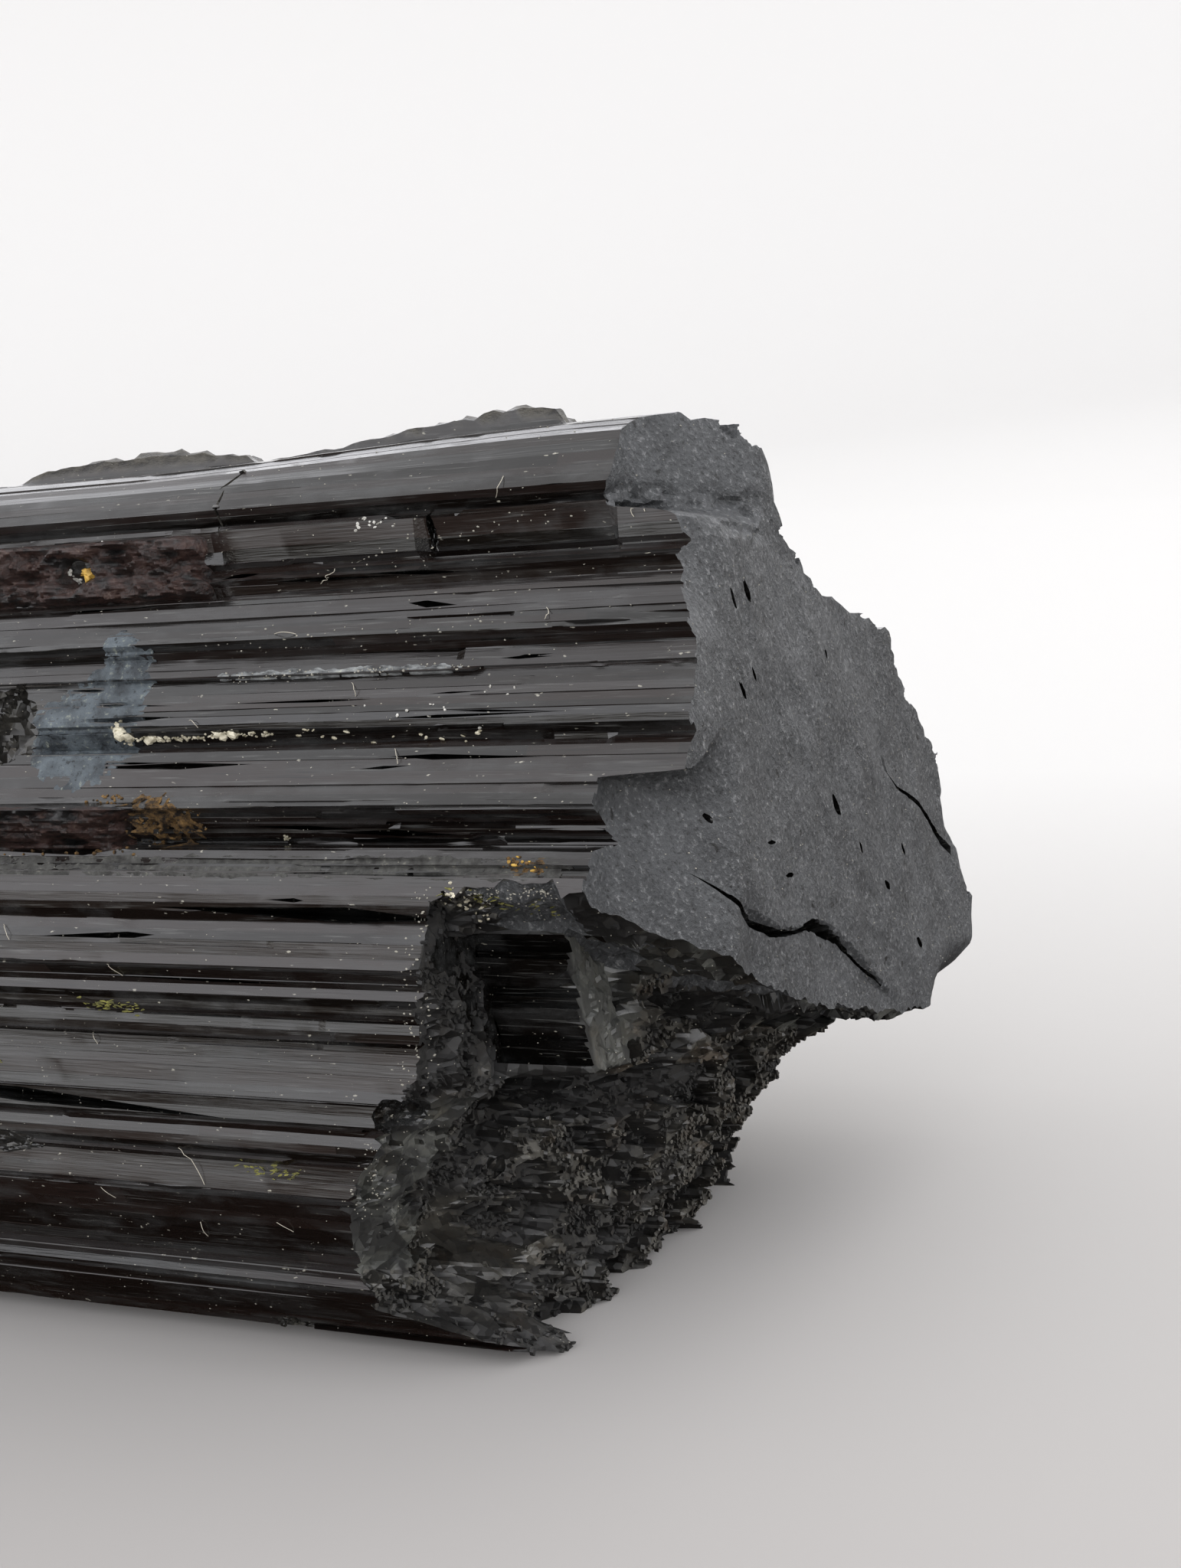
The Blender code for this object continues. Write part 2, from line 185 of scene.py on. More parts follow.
def relief(axial, out, up, on_front):
    """How far the surface is moved, out and up, at one point of the prism."""
    move_out, move_up = 0.0, 0.0
    wave = wavy(axial, up, 21.0, 5.0, 3.0 if on_front else 9.0)
    if on_front:
        move_out += WAVE_FRONT * wave
        for (low_up, high_up, soft_up, low_axial, high_axial, soft_axial,
             shift, rough, length, height, layer, tilt) in FRONT_FEATURES:
            weight = window(low_up, high_up, up, soft_up) * window(low_axial, high_axial, axial, soft_axial)
            if weight > 0.0:
                coarse = wavy(axial, up, length, height, layer)
                fine = wavy(axial, up, length / 2.6, height / 2.6, layer + 1.0)
                facing_down = tilt * (up - 0.5 * (low_up + high_up))
                move_out += weight * (shift + facing_down + rough * (coarse + 0.5 * fine))
    move_up -= CREST_DROP * smooth(*CREST_DROP_AXIALS, axial) * smooth(18.5, 22.0, up)
    crest = smooth(9.5, 11.5, out) * smooth(17.35, 17.0, out) * smooth(18.6, 20.6, up)
    ragged = 0.2 * noise.noise(Vector((axial / 1.6, out / 0.9, 4.0)))
    ragged += 0.2 * noise.noise(Vector((axial / 0.8, out / 0.5, 5.0)))
    move_up += crest * along(HUMPS, axial) * (1.0 + 1.4 * ragged)
    on_foot = abs(up - foot_height(out)) < 0.01
    if not on_front and not on_foot:
        move_up += WAVE_HIDDEN * wave
    return move_out, move_up


def blade_heights(stations, depth, gap_chance):
    """How proud one fine striation is at each station: long even blades, some missing slivers."""
    heights = []
    end, height, before = stations[0] - 1.0, 0.0, 0.0
    start, tapered = end, False
    for axial in stations:
        if axial > end:
            start, before = end, height
            end = max(axial, end) + fine_rng.uniform(4.0, 34.0)
            height = fine_rng.gauss(0.0, depth)
            if fine_rng.random() < gap_chance:
                height -= depth * fine_rng.uniform(2.0, 6.0)
                end = axial + fine_rng.uniform(3.0, 12.0)
            tapered = fine_rng.random() < 0.4
        share = min((axial - start) / (end - start), 1.0) if tapered else 1.0
        heights.append(before + (height - before) * share)
    return heights


def striation_rows(start, end, stations, on_front):
    """Rows of points over one strip of the section: two for each fine striation of the front, and one
    for each on the back."""
    run = Vector(end) - Vector(start)
    direction = run.normalized()
    side = Vector((-direction.y, direction.x))
    pitch, depth, gap_chance, turned_down = FINE_BLADES
    if not on_front:
        pitch = BACK_FINE_PITCH
    elif run.length > BROAD_STRIP or start[1] > TOP_RIB_FOOT:
        pitch, depth, gap_chance, turned_down = BROAD_BLADES
    if run.length > WIDEST_STRIP:
        pitch, depth, gap_chance, turned_down = UNDERCUT_BLADES
    count = max(1, round(run.length / pitch))
    marks = [0.0] + [(index + fine_rng.uniform(-0.2, 0.2)) / count for index in range(1, count)] + [1.0]
    rows = []
    for first, last in zip(marks, marks[1:]):
        heights = blade_heights(stations, depth, gap_chance)
        tilt = fine_rng.gauss(0.0, 0.02) + (0.14 * pitch if fine_rng.random() < turned_down else 0.0)
        edges = ((first, EDGE, tilt), (last, -EDGE, -tilt)) if on_front else ((first, 0.0, 0.0),)
        for share, inward, lean in edges:
            layer = round(share * 50.0) + 100.0 * start[1]
            points = []
            for axial, height in zip(stations, heights):
                drift = 0.0 if share in (0.0, 1.0) else 0.14 * wavy(axial, 0.0, 16.0, 1.0, layer)
                base = Vector(start) + direction * (run.length * share + inward + drift * run.length / count)
                nick = 0.0
                if share in (0.0, 1.0) and on_front:
                    nick = NICK * smooth(0.3, 0.6, wavy(axial, start[1], 2.4, 0.7, 71.0))
                out, up = base + side * (height + lean - nick)
                move_out, move_up = relief(axial, base.x, base.y, on_front)
                points.append((axial, out + move_out, up + move_up))
            rows.append(points)
    return rows


def new_material(name):
    material = bpy.data.materials.new(name)
    material.use_nodes = True
    return material


def new_mesh_object(name, bm):
    bmesh.ops.recalc_face_normals(bm, faces=bm.faces)
    mesh = bpy.data.meshes.new(name)
    bm.to_mesh(mesh)
    bm.free()
    body = bpy.data.objects.new(name, mesh)
    scene.collection.objects.link(body)
    return body


def striated_prism():
    """The prism, longer than the crystal at both ends, as rows of points along the axis."""
    stations = []
    axial = -LENGTH - OVERRUN
    while axial < FIRST_FINE_STATION:
        stations.append(axial)
        axial += FAR_STATION_STEP
    axial = FIRST_FINE_STATION
    while axial < LAST_FINE_STATION:
        stations.append(axial)
        axial += STATION_STEP
    stations += SUDDEN_STATIONS + [OVERRUN]
    stations.sort()
    outline, front_count = section_outline()
    rows = []
    for index, start in enumerate(outline):
        end = outline[(index + 1) % len(outline)]
        if index == front_count:
            for out, up in (start, end):
                rows.append([(axial, out, up) for axial in stations])
        else:
            rows += striation_rows(start, end, stations, index < front_count - 1)
    bm = bmesh.new()
    columns = [[bm.verts.new(point) for point in row] for row in rows]
    tone = bm.faces.layers.float.new("tone")
    for upper, lower in zip(columns, columns[1:] + columns[:1]):
        blade, last = fine_rng.random(), 0
        for index in range(len(stations) - 1):
            if index - last > 6 and fine_rng.random() < 0.012:
                blade, last = fine_rng.random(), index
            face = bm.faces.new((upper[index], upper[index + 1], lower[index + 1], lower[index]))
            face[tone] = blade
    caps = [bm.faces.new([column[index] for column in columns]) for index in (0, -1)]
    bmesh.ops.triangulate(bm, faces=caps)
    return new_mesh_object("tourmaline_prism", bm)


# The broken end: above, a dull and nearly flat cross break, pitted and with two long cracks. Below it the
# crystal broke away in coarse hackly steps, past the ends of its fine needles, and the outer layer broke
# off further back. Breaks, cracks and holes are cut from the prism.
LEDGE = [(-28.6, -13.4), (-26.4, -15.6), (-22.8, -16.5), (-9.7, -15.9), (4.6, -14.2), (15.0, -11.6),
         (27.0, -6.2)]
OUTER_LAYER_END = [(-36.8, -18.2), (-35.6, -21.0), (-34.4, -25.0), (-31.0, -27.0), (-26.0, -25.0),
                   (-21.5, -21.5), (-18.0, -17.4), (-12.0, -16.8), (-6.0, -15.4)]
OUTER_LAYER = 5.5               # how thick the outer layer is
LAYER_SLANT = 0.45
TOP_RIB_SETBACK = 6.0           # how far parts of the upper break stand back from its middle
FRONT_SETBACK = 5.4
RIB_SETBACK = 1.6
BACK_SETBACK = 6.0
CRACK_SETBACK = 0.5
SEAM_SETBACK = 1.2
LOWER_BREAK = -6.5              # where the lower break starts under the ledge
LOWER_SLOPE = 0.43
FRONT_SLANT = 0.55
SLANT_START = 5.0
LOWER_DIP = 1.8
LEDGE_LIP = 2.8                 # how far the break stands out just under the ledge
REAR_SETBACK = 5.5
GAP_DEPTH = 2.2                 # behind the front slab
CAVITY_DEPTH = 3.5              # under the slabs
INNER_END = -9.5
BLOCK_FOOT = -17.5
BLOCK_TOP = -8.0
FRACTURE_PITCH = 0.24
LEFT_PITCH = 0.9
FRACTURE_FRONT = 29.5
BREAK_REACH = 36.0
BREAK_TOP, BREAK_FOOT = 30.0, -44.0
CUTTER_OUTSIDE = 34.0           # out of the front, past every strip
WALL_DEPTH = 0.7                # how far the block's side lies behind the outer layer
CRACK_DEPTH = 2.2
RIM_CHIPS = 18
SLIVERS = 26
CRISP_ANGLE = 14.0              # edges sharper than this stay crisp, in degrees
CURVED_CRACK = [(-11.0, -15.2), (-7.0, -13.5), (-2.5, -11.1), (3.1, -9.0), (7.0, -9.2), (10.9, -9.1),
                (15.7, -7.6), (19.1, -6.3), (22.5, -5.0)]
TONGUE = [(-18.3, 15.3), (-14.6, 16.6), (-12.8, 18.2), (-9.4, 19.6)]     # front slab: up, out
SECOND_TONGUE = [(-19.6, 12.0), (-15.9, 9.2), (-11.6, 13.6)]             # and the one behind it
ROUGH_HOLLOW = (-18.0, 16.0, -23.9)                    # middle of a hollow of the coarse break, cut and also darkened with painted shade
# Pits of the dull break: out, up, half width, half height, how much they lean
PITS = [(0.9, -1.4, 0.45, 0.75, -0.8), (15.8, 11.6, 0.35, 0.7, -0.6), (17.6, 11.0, 0.22, 0.6, -0.7),
        (24.3, -3.0, 0.3, 0.45, 0.3), (-3.3, -4.3, 0.28, 0.4, -0.7), (-8.7, -7.0, 0.35, 0.35, -0.8),
        (-15.1, -11.4, 0.4, 0.4, -0.8), (9.3, -5.7, 0.8, 0.16, 0.3), (12.2, -3.6, 0.6, 0.14, 0.3),
        (16.4, 5.6, 0.3, 0.55, -0.8), (-8.5, 1.4, 0.3, 0.7, -0.8), (14.8, 6.6, 0.2, 0.4, -0.6),
        (3.0, 8.5, 0.2, 0.3, -0.5), (-12.0, -4.6, 0.3, 0.4, -0.7), (19.3, -2.0, 0.2, 0.3, -0.5)]
# Cracks across the dull break: out, up and gape at points along each
CRACKS = [
    [(21.4, -4.5, 0.05), (20.0, -5.2, 0.25), (18.2, -6.5, 0.4), (15.0, -8.2, 0.65), (11.5, -9.0, 0.75),
     (8.2, -9.3, 0.45), (5.6, -8.7, 1.0), (2.6, -9.2, 1.2), (-0.1, -10.2, 0.6), (-4.0, -12.1, 0.35),
     (-9.5, -14.6, 0.05)],
    [(-9.0, 0.8, 0.05), (-11.0, -0.2, 0.25), (-14.0, -0.9, 0.4), (-18.0, -2.2, 0.6), (-21.2, -3.9, 0.8),
     (-24.0, -5.0, 0.9)],
]
FRONT_DEPTH = sorted((up, out) for out, up in front_outline())


def blocky(a, b, cell, height, tilt, layer):
    """Fracture made of small tilted planes, one for each cell of an uneven pattern."""
    spot = Vector((a / cell, b / cell, layer))
    centre = noise.voronoi(spot)[1][0]
    chance = noise.cell_vector(centre * 37.0) - Vector((0.5, 0.5, 0.5))
    slope = (spot.x - centre.x) * chance.x + (spot.y - centre.y) * chance.y
    return 2.0 * height * chance.z + 2.0 * tilt * cell * slope


def slanting(out, up, angle):
    """The same place, measured along and across a direction at an angle in degrees to the level."""
    turn = math.radians(angle)
    return out * math.cos(turn) + up * math.sin(turn), up * math.cos(turn) - out * math.sin(turn)


def ledge_height(out):
    """Up coordinate of the ragged ledge between the two breaks."""
    ragged = 0.5 * noise.noise(Vector((out / 2.2, 0.0, 66.0)))
    ragged += 0.35 * noise.noise(Vector((out / 0.8, 0.0, 67.0)))
    return along(LEDGE, out) + ragged


def upper_break(out, up):
    """Axial place of the dull upper break, nearly flat but dished back at the top rib and the front."""
    length, width = slanting(out, up, 45.0)
    axial = 0.4 * noise.noise(Vector((out / 8.0, up / 8.0, 20.0)))
    axial += 0.14 * noise.noise(Vector((length / 3.5, width / 2.0, 21.0)))
    axial += 0.05 * noise.noise(Vector((length / 1.1, width / 0.6, 22.0)))
    axial -= TOP_RIB_SETBACK * smooth(12.0, 21.0, out) * smooth(15.6, 16.8, up)
    # The ribs above the deep slot reach further right than those below it, at the front edge only
    spread = 3.5 * smooth(24.6, 18.5, out)
    axial -= FRONT_SETBACK * smooth(17.0, 24.5, out) * smooth(0.8 + spread, 0.5 - 0.7 * spread, up)
    axial -= RIB_SETBACK * smooth(19.0, 24.0, out) * smooth(8.0, 14.5, up) * (1.0 - smooth(15.6, 16.8, up))
    axial -= BACK_SETBACK * smooth(-17.0, -27.0, out) * smooth(-11.5, -18.5, up)
    # The face is set back a little under the long curved crack
    under = along(CURVED_CRACK, out) - up
    axial -= CRACK_SETBACK * window(-9.5, 16.0, out, 2.5) * smooth(-0.2, 0.3, under)
    # The jagged crack between the end of the top rib and the rest
    seam = up - 16.4 - 0.6 * noise.noise(Vector((out / 1.6, 0.0, 31.0)))
    axial -= SEAM_SETBACK * window(17.5, 29.5, out, 1.5) * window(-0.2, 0.25, seam, 0.15)
    crumbled = window(13.0, 27.0, out, 2.0) * window(15.0, 17.8, up, 0.6)
    crumbs = 0.5 * noise.noise(Vector((out / 1.3, up / 1.1, 32.0)))
    crumbs += 0.35 * noise.noise(Vector((out / 0.6, up / 0.6, 35.0)))
    return axial - crumbled * (0.3 + crumbs)


def torn(out, up, cell, layer):
    """1 in some cells of an uneven pattern and 0 in the rest, for pieces that were torn out whole."""
    spot = Vector((out / cell, up / cell, layer))
    centre = noise.voronoi(spot)[1][0]
    missing = noise.noise(centre * (cell / 2.4)) + 0.5 * noise.cell_vector(centre * 53.0).x
    return smooth(0.38, 0.42, missing)


def hackly_steps(out, up):
    """Steps of the coarse break: flat matt pieces at different depths, drawn out along one slant."""
    length, width = slanting(out, up, 19.0)
    length *= 0.55
    steps = blocky(length, width, 2.6, 0.5, 0.14, 41.0) + blocky(length, width, 1.15, 0.22, 0.2, 42.0)
    holes = 1.5 * torn(length, width, 1.15, 42.0) + 0.8 * torn(length, width, 0.7, 43.0)
    # The second value, how far into a torn hole, is used for the painted shade in the holes.
    return steps - holes, min(holes, 1.0)


def slab_cavity(out, up):
    """1 in the cavity under the slabs."""
    return window(10.5, 19.0, out, 1.0) * window(BLOCK_FOOT - 2.8, BLOCK_FOOT - 0.5, up, 0.5)


def lower_break(out, up):
    """Axial place of the coarse lower break, which runs back and down from under the ledge."""
    drop = ledge_height(out) - up
    steps = hackly_steps(out, up)[0]
    axial = LOWER_BREAK - LOWER_SLOPE * max(drop, 0.0)
    axial -= REAR_SETBACK * smooth(-8.0, -18.0, out) * (1.0 - 0.6 * smooth(9.0, 15.0, drop))
    axial -= LOWER_DIP * smooth(5.0, 12.0, drop)
    axial += LEDGE_LIP * smooth(3.2, 0.0, drop) * smooth(19.0, 14.0, out)
    under_block = 1.0 - smooth(BLOCK_FOOT - 1.5, BLOCK_FOOT + 0.5, up)
    axial -= FRONT_SLANT * max(out - SLANT_START, 0.0) * under_block
    steps *= 1.0 - 0.5 * smooth(-12.0, -18.0, out)
    axial += blocky(out, up, 5.0, 0.7, 0.22, 5.0) + steps
    # Two slabs hang in front of the rest, with a dark gap behind each, and a cavity under them
    tongue, second = along(TONGUE, up), along(SECOND_TONGUE, up)
    axial -= GAP_DEPTH * window(second - 3.0, tongue, out, 0.4) * window(-19.5, -9.0, up, 0.5)
    behind = window(second - 1.0, second + 1.0, out, 0.15) * window(-19.6, -11.6, up, 0.2)
    axial += (INNER_END - 0.6 + 0.2 * steps - axial) * behind
    edge = 0.35 * noise.noise(Vector((up / 0.8, 1.0, 45.0)))
    inner = window(tongue - 3.0 + edge, 23.0, out, 0.12) * window(BLOCK_FOOT - 0.4, BLOCK_TOP, up, 0.3)
    axial += (INNER_END + 0.15 * steps - axial) * inner
    axial -= CAVITY_DEPTH * slab_cavity(out, up)
    front = along(FRONT_DEPTH, up)
    outer = smooth(front - OUTER_LAYER - 0.3 - 1.7 * under_block, front - OUTER_LAYER + 0.3, out)
    layer_end = along(OUTER_LAYER_END, up) + LAYER_SLANT * max(front - out, 0.0)
    length, width = slanting(out, up, 68.0)
    layer_end += blocky(out, up, 3.0, 0.5, 0.3, 7.0) + blocky(length * 0.4, width, 0.9, 0.25, 0.3, 44.0)
    layer_end -= 0.9 * torn(length * 0.45, width, 0.8, 46.0)
    return axial + (layer_end - axial) * outer


def painted_hole_shade_at(out, up):
    """Painted shade for the coarse break, from 0 to 1: dark paint in its torn holes, the cavity under
    the slabs, a notch, some patches, the lower tip and one hollow, but none on the front slab.
    """
    length, width = slanting(out, up, 68.0)
    splinter_hole = torn(length * 0.45, width, 0.8, 46.0) if out > 20.0 else 0.0
    tongue = along(TONGUE, up)
    notch = 0.9 * window(tongue + 1.5, 30.0, out, 0.3) * window(BLOCK_FOOT, -6.4, up, 0.6)
    shade = 0.8 * smooth(0.1, 0.4, noise.noise(Vector((out / 3.4, up / 3.4, 68.0))))
    tip = 0.6 * smooth(-31.0, -33.5, up)
    centre_out, centre_up = ROUGH_HOLLOW[1:]
    hollowed = 0.9 * smooth(1.3, 0.8, math.hypot((out - centre_out) / 2.0, (up - centre_up) / 2.6))
    slab = window(tongue - 3.0, tongue + 1.6, out, 0.3) * window(BLOCK_FOOT, BLOCK_TOP, up, 0.4)
    holes = (hackly_steps(out, up)[1], splinter_hole, slab_cavity(out, up), notch, shade, tip, hollowed)
    return max(holes) * (1.0 - slab)


def spaced(start, end, pitch):
    """Evenly spaced values from start to end, both included."""
    count = max(1, round(abs(end - start) / pitch))
    return [start + (end - start) * index / count for index in range(count + 1)]


def right_break_profile(out):
    """The break as seen from the front at one out: down the upper face, in along the ledge, down."""
    top = ledge_height(out)
    upper_ups = [BREAK_TOP] + [24.8 + (top - 24.8) * share for share in spaced(0.0, 1.0, 1.0 / 140)]
    profile = [(upper_break(out, up), up) for up in upper_ups]
    corner, inner = profile[-1][0], lower_break(out, top)
    for share in spaced(0.0, 1.0, 1.0 / 14)[1:-1]:
        axial = corner + (inner - corner) * share
        ragged = blocky(axial, out, 5.0, 0.5, 0.12, 8.0) + blocky(axial, out, 1.1, 0.25, 0.3, 9.0)
        profile.append((axial, top + ragged * smooth(0.0, 0.2, share)))
    lower_ups = [top + (-38.5 - top) * share for share in spaced(0.0, 1.0, 1.0 / 100)] + [BREAK_FOOT]
    return profile + [(lower_break(out, up), up) for up in lower_ups]


def left_break_profile(out):
    """A plain cross break, slightly uneven."""
    profile = []
    for up in spaced(BREAK_TOP, BREAK_FOOT, LEFT_PITCH):
        axial = -LENGTH + 0.9 * noise.noise(Vector((out / 9.0, up / 9.0, 12.0)))
        axial += 0.25 * noise.noise(Vector((out / 2.0, up / 2.0, 13.0)))
        profile.append((axial, up))
    return profile


def break_cutter(name, profile_at, outs, far, material_at):
    """Closed cutter between a broken face and the plane at axial far."""
    bm = bmesh.new()
    columns = []
    for out in outs:
        columns.append([bm.verts.new((axial, out, up)) for axial, up in profile_at(out)])
    for left, right in zip(columns, columns[1:]):
        for index in range(len(left) - 1):
            face = bm.faces.new((left[index], left[index + 1], right[index + 1], right[index]))
            face.material_index = material_at(*face.calc_center_median())
    edges = []
    for column in (columns[0], columns[-1]):
        top = bm.verts.new((far, column[0].co.y, column[0].co.z))
        foot = bm.verts.new((far, column[0].co.y, column[-1].co.z))
        bm.faces.new(column + [foot, top])
        edges.append((top, foot))
    (top_a, foot_a), (top_b, foot_b) = edges
    bm.faces.new((top_a, foot_a, foot_b, top_b))
    bm.faces.new([column[0] for column in columns] + [top_b, top_a])
    bm.faces.new([column[-1] for column in columns] + [foot_b, foot_a])
    bmesh.ops.triangulate(bm, faces=bm.faces)
    return new_mesh_object(name, bm)


def hollow(name, centre, radii, rough, lean, material_index, out_lean=0.0, fineness=4):
    """Cutter for a rough cavity; lean shifts its top to the right and out_lean shifts it to the front."""
    bm = bmesh.new()
    bmesh.ops.create_icosphere(bm, subdivisions=fineness, radius=1.0)
    for vertex in bm.verts:
        spot = vertex.co * 2.2 + Vector(centre)
        vertex.co *= 1.0 + rough * noise.noise(spot) + 0.5 * rough * noise.noise(spot * 2.7)
        place = Vector([vertex.co[axis] * radii[axis] + centre[axis] for axis in range(3)])
        place.x += lean * (place.z - centre[2])
        place.y -= out_lean * (place.z - centre[2])
        vertex.co = place
    for face in bm.faces:
        face.material_index = material_index
    return new_mesh_object(name, bm)


def sliver(name, start, end, widest, tall, depth):
    """Cutter for a thin blade that has split away from the front, pointed at both ends; start and end are
    axial, up, and it is widest at a share of the way between them."""
    middle = Vector(start).lerp(Vector(end), widest)
    surface, outside = along(FRONT_DEPTH, middle.y), 1.2
    grown = (depth + outside) / depth
    bm = bmesh.new()
    tips = []
    for tip in (start, end):
        axial, up = middle + (Vector(tip) - middle) * grown
        tips.append(bm.verts.new((axial, surface + outside, up)))
    half = 0.5 * tall * grown
    top, foot, inside = [bm.verts.new((middle.x, out, up)) for out, up in (
        (surface + outside, middle.y + half), (surface + outside, middle.y - half),
        (surface - depth, middle.y - 0.3 * tall))]
    for tip in tips:
        for first, last in ((top, inside), (inside, foot), (foot, top)):
            bm.faces.new((tip, first, last))
    return new_mesh_object(name, bm)


def crack(name, line, depth):
    """Cutter for a ragged crack that runs across the broken end and narrows to nothing inside."""
    bm = bmesh.new()
    rings = []
    points = [(Vector(first[:2]).lerp(Vector(last[:2]), share), first[2] + (last[2] - first[2]) * share)
              for first, last in zip(line, line[1:]) for share in (0.0, 0.25, 0.5, 0.75)]
    for (out, up), gape in points:
        lips = [noise.noise(Vector((out / 0.9, up / 0.9, layer))) for layer in (33.0, 34.0)]
        upper = gape + 0.3 * gape * lips[0] + 0.1 * lips[1]
        lower = -gape + 0.5 * gape * lips[1] - 0.05 * lips[0]
        rings.append([bm.verts.new((axial, out, up + rise))
                      for axial, rise in ((3.0, upper), (3.0, lower), (-depth, -0.5 * gape))])
    for left, right in zip(rings, rings[1:]):
        for index in range(3):
            bm.faces.new((left[index - 1], left[index], right[index], right[index - 1]))
    bm.faces.new(rings[0])
    bm.faces.new(rings[-1])
    bmesh.ops.triangulate(bm, faces=bm.faces)
    return new_mesh_object(name, bm)


def block_side(name, left, right, top, foot):
    """Cutter that leaves a clean striated wall behind the broken outer layer; its ribs overhang, so they
    look dark from above."""
    edge, up = [(CUTTER_OUTSIDE, top)], top
    while up > foot:
        wall = along(FRONT_DEPTH, up) - OUTER_LAYER - WALL_DEPTH
        drop = fine_rng.uniform(0.35, 1.2)
        edge += [(wall + 0.3, up), (wall - 0.35 * drop, up - drop)]
        up -= drop + 0.03
    edge.append((CUTTER_OUTSIDE, up))
    bm = bmesh.new()
    ends = [bm.faces.new([bm.verts.new((axial, *point)) for point in edge]) for axial in (left, right)]
    for index in range(len(edge)):
        (first, second), (third, fourth) = [(end.verts[index - 1], end.verts[index]) for end in ends]
        bm.faces.new((first, second, fourth, third))
    bmesh.ops.triangulate(bm, faces=bm.faces)
    return new_mesh_object(name, bm)


PRISM_FACE, DULL_BREAK, HACKLY_BREAK, LAYER_BREAK = range(4)


def break_material(axial, out, up):
    """Dull above the ledge, splintered at the end of the outer layer, hackly elsewhere."""
    if up > ledge_height(out) + 0.05:
        return DULL_BREAK
    depth = along(FRONT_DEPTH, up) - out
    if BLOCK_FOOT - 0.6 < up < BLOCK_TOP and along(TONGUE, up) - 3.4 < out:
        return LAYER_BREAK if depth > OUTER_LAYER - 0.4 else HACKLY_BREAK
    ragged = 0.8 * noise.noise(Vector((out / 2.0, up / 2.0, 62.0)))
    band = ledge_height(out) - up < 1.2 + 2.0 * ragged and -16.0 < out < 8.0
    layer = depth < OUTER_LAYER - 0.8 + ragged and -31.5 < up < -19.0
    return LAYER_BREAK if band or layer else HACKLY_BREAK


def sharpen_and_place(body, angle):
    """Turns a mesh from the crystal's own axes into the frame, and keeps its crisp edges crisp."""
    turned = Matrix(((1, 0, 0, PLACE.x),
                     (0, -math.cos(LEAN), math.sin(LEAN), PLACE.y),
                     (0, math.sin(LEAN), math.cos(LEAN), PLACE.z),
                     (0, 0, 0, 1)))
    body.data.transform(Matrix.Scale(0.001, 4) @ turned)
    body.data.flip_normals()
    body.data.shade_smooth()
    body.data.set_sharp_from_angle(angle=math.radians(angle))


# Name, centre, half sizes, roughness, lean and surface of each hollow of the front and the coarse break
HOLLOWS = [
    ("dark_cavity", (-50.2, 24.3, 4.2), (3.1, 1.8, 2.9), 0.35, 0.0, HACKLY_BREAK),
    ("square_painted_hole_shade", (-19.9, 23.2, -20.3), (2.1, 2.2, 1.5), 0.12, 0.0, PRISM_FACE),
    ("rib_crack_top", (-33.2, 21.4, 20.6), (0.17, 1.1, 1.3), 0.35, 0.75, HACKLY_BREAK),
    ("rib_crack_foot", (-33.9, 22.4, 18.0), (0.1, 0.9, 1.7), 0.2, 0.05, HACKLY_BREAK),
    ("lower_chip", (-52.5, 22.4, -23.6), (3.6, 1.0, 0.9), 0.3, 0.0, HACKLY_BREAK),
    ("corner_chip", (-35.2, 13.0, -36.7), (1.6, 1.6, 0.9), 0.3, 0.0, HACKLY_BREAK),
    ("ledge_hollow", (-13.2, 26.6, -7.4), (2.4, 2.2, 1.0), 0.4, 0.0, HACKLY_BREAK),
    ("wedge_gap", (-18.4, 22.0, 15.3), (0.35, 1.0, 1.3), 0.4, 0.0, PRISM_FACE),
    ("rib_end_crevice", (-2.2, 24.5, 16.4), (1.2, 3.4, 0.35), 0.6, 0.0, HACKLY_BREAK),
    ("rough_hollow", ROUGH_HOLLOW, (1.8, 2.0, 2.6), 0.5, 0.5, HACKLY_BREAK),
]

crystal = striated_prism()
break_outs = [-BREAK_REACH] + spaced(-FRACTURE_FRONT, FRACTURE_FRONT, FRACTURE_PITCH) + [BREAK_REACH]
cutters = [
    break_cutter("right_break", right_break_profile, break_outs, OVERRUN + 3.0, break_material),
    break_cutter("left_break", left_break_profile, spaced(-BREAK_REACH, BREAK_REACH, LEFT_PITCH),
                 -LENGTH - OVERRUN - 3.0, lambda axial, out, up: DULL_BREAK),
]
cutters += [hollow(*settings) for settings in HOLLOWS]
cutters += [
    block_side("block_side", -15.7, -7.0, -8.9, -16.6),
    sliver("gash", (-34.5, -7.25), (-14.2, -7.75), 0.65, 0.95, 2.4),
    sliver("left_gash", (-68.0, -19.3), (-31.5, -20.9), 0.5, 0.9, 1.8),
]
cutters += [crack("crack_%d" % index, line, CRACK_DEPTH) for index, line in enumerate(CRACKS)]
back_rim = [Vector(corner) for corner in BACK_CORNERS[3:14]]
for index in range(RIM_CHIPS):
    corner = fine_rng.randrange(len(back_rim) - 1)
    out, up = back_rim[corner].lerp(back_rim[corner + 1], fine_rng.random())
    radii = (fine_rng.uniform(0.5, 1.4), fine_rng.uniform(0.3, 0.9), fine_rng.uniform(0.3, 0.9))
    cutters.append(hollow("rim_chip_%d" % index, (upper_break(out, up), out, up), radii, 0.6, 0.0,
                          DULL_BREAK, fineness=3))
for index, (out, up, wide, tall, lean) in enumerate(PITS):
    face = upper_break(out, up)
    cutters.append(hollow("pit_%d" % index, (face, out, up), (1.2, wide, tall), 0.4, 0.0, PRISM_FACE,
                          out_lean=lean, fineness=2))
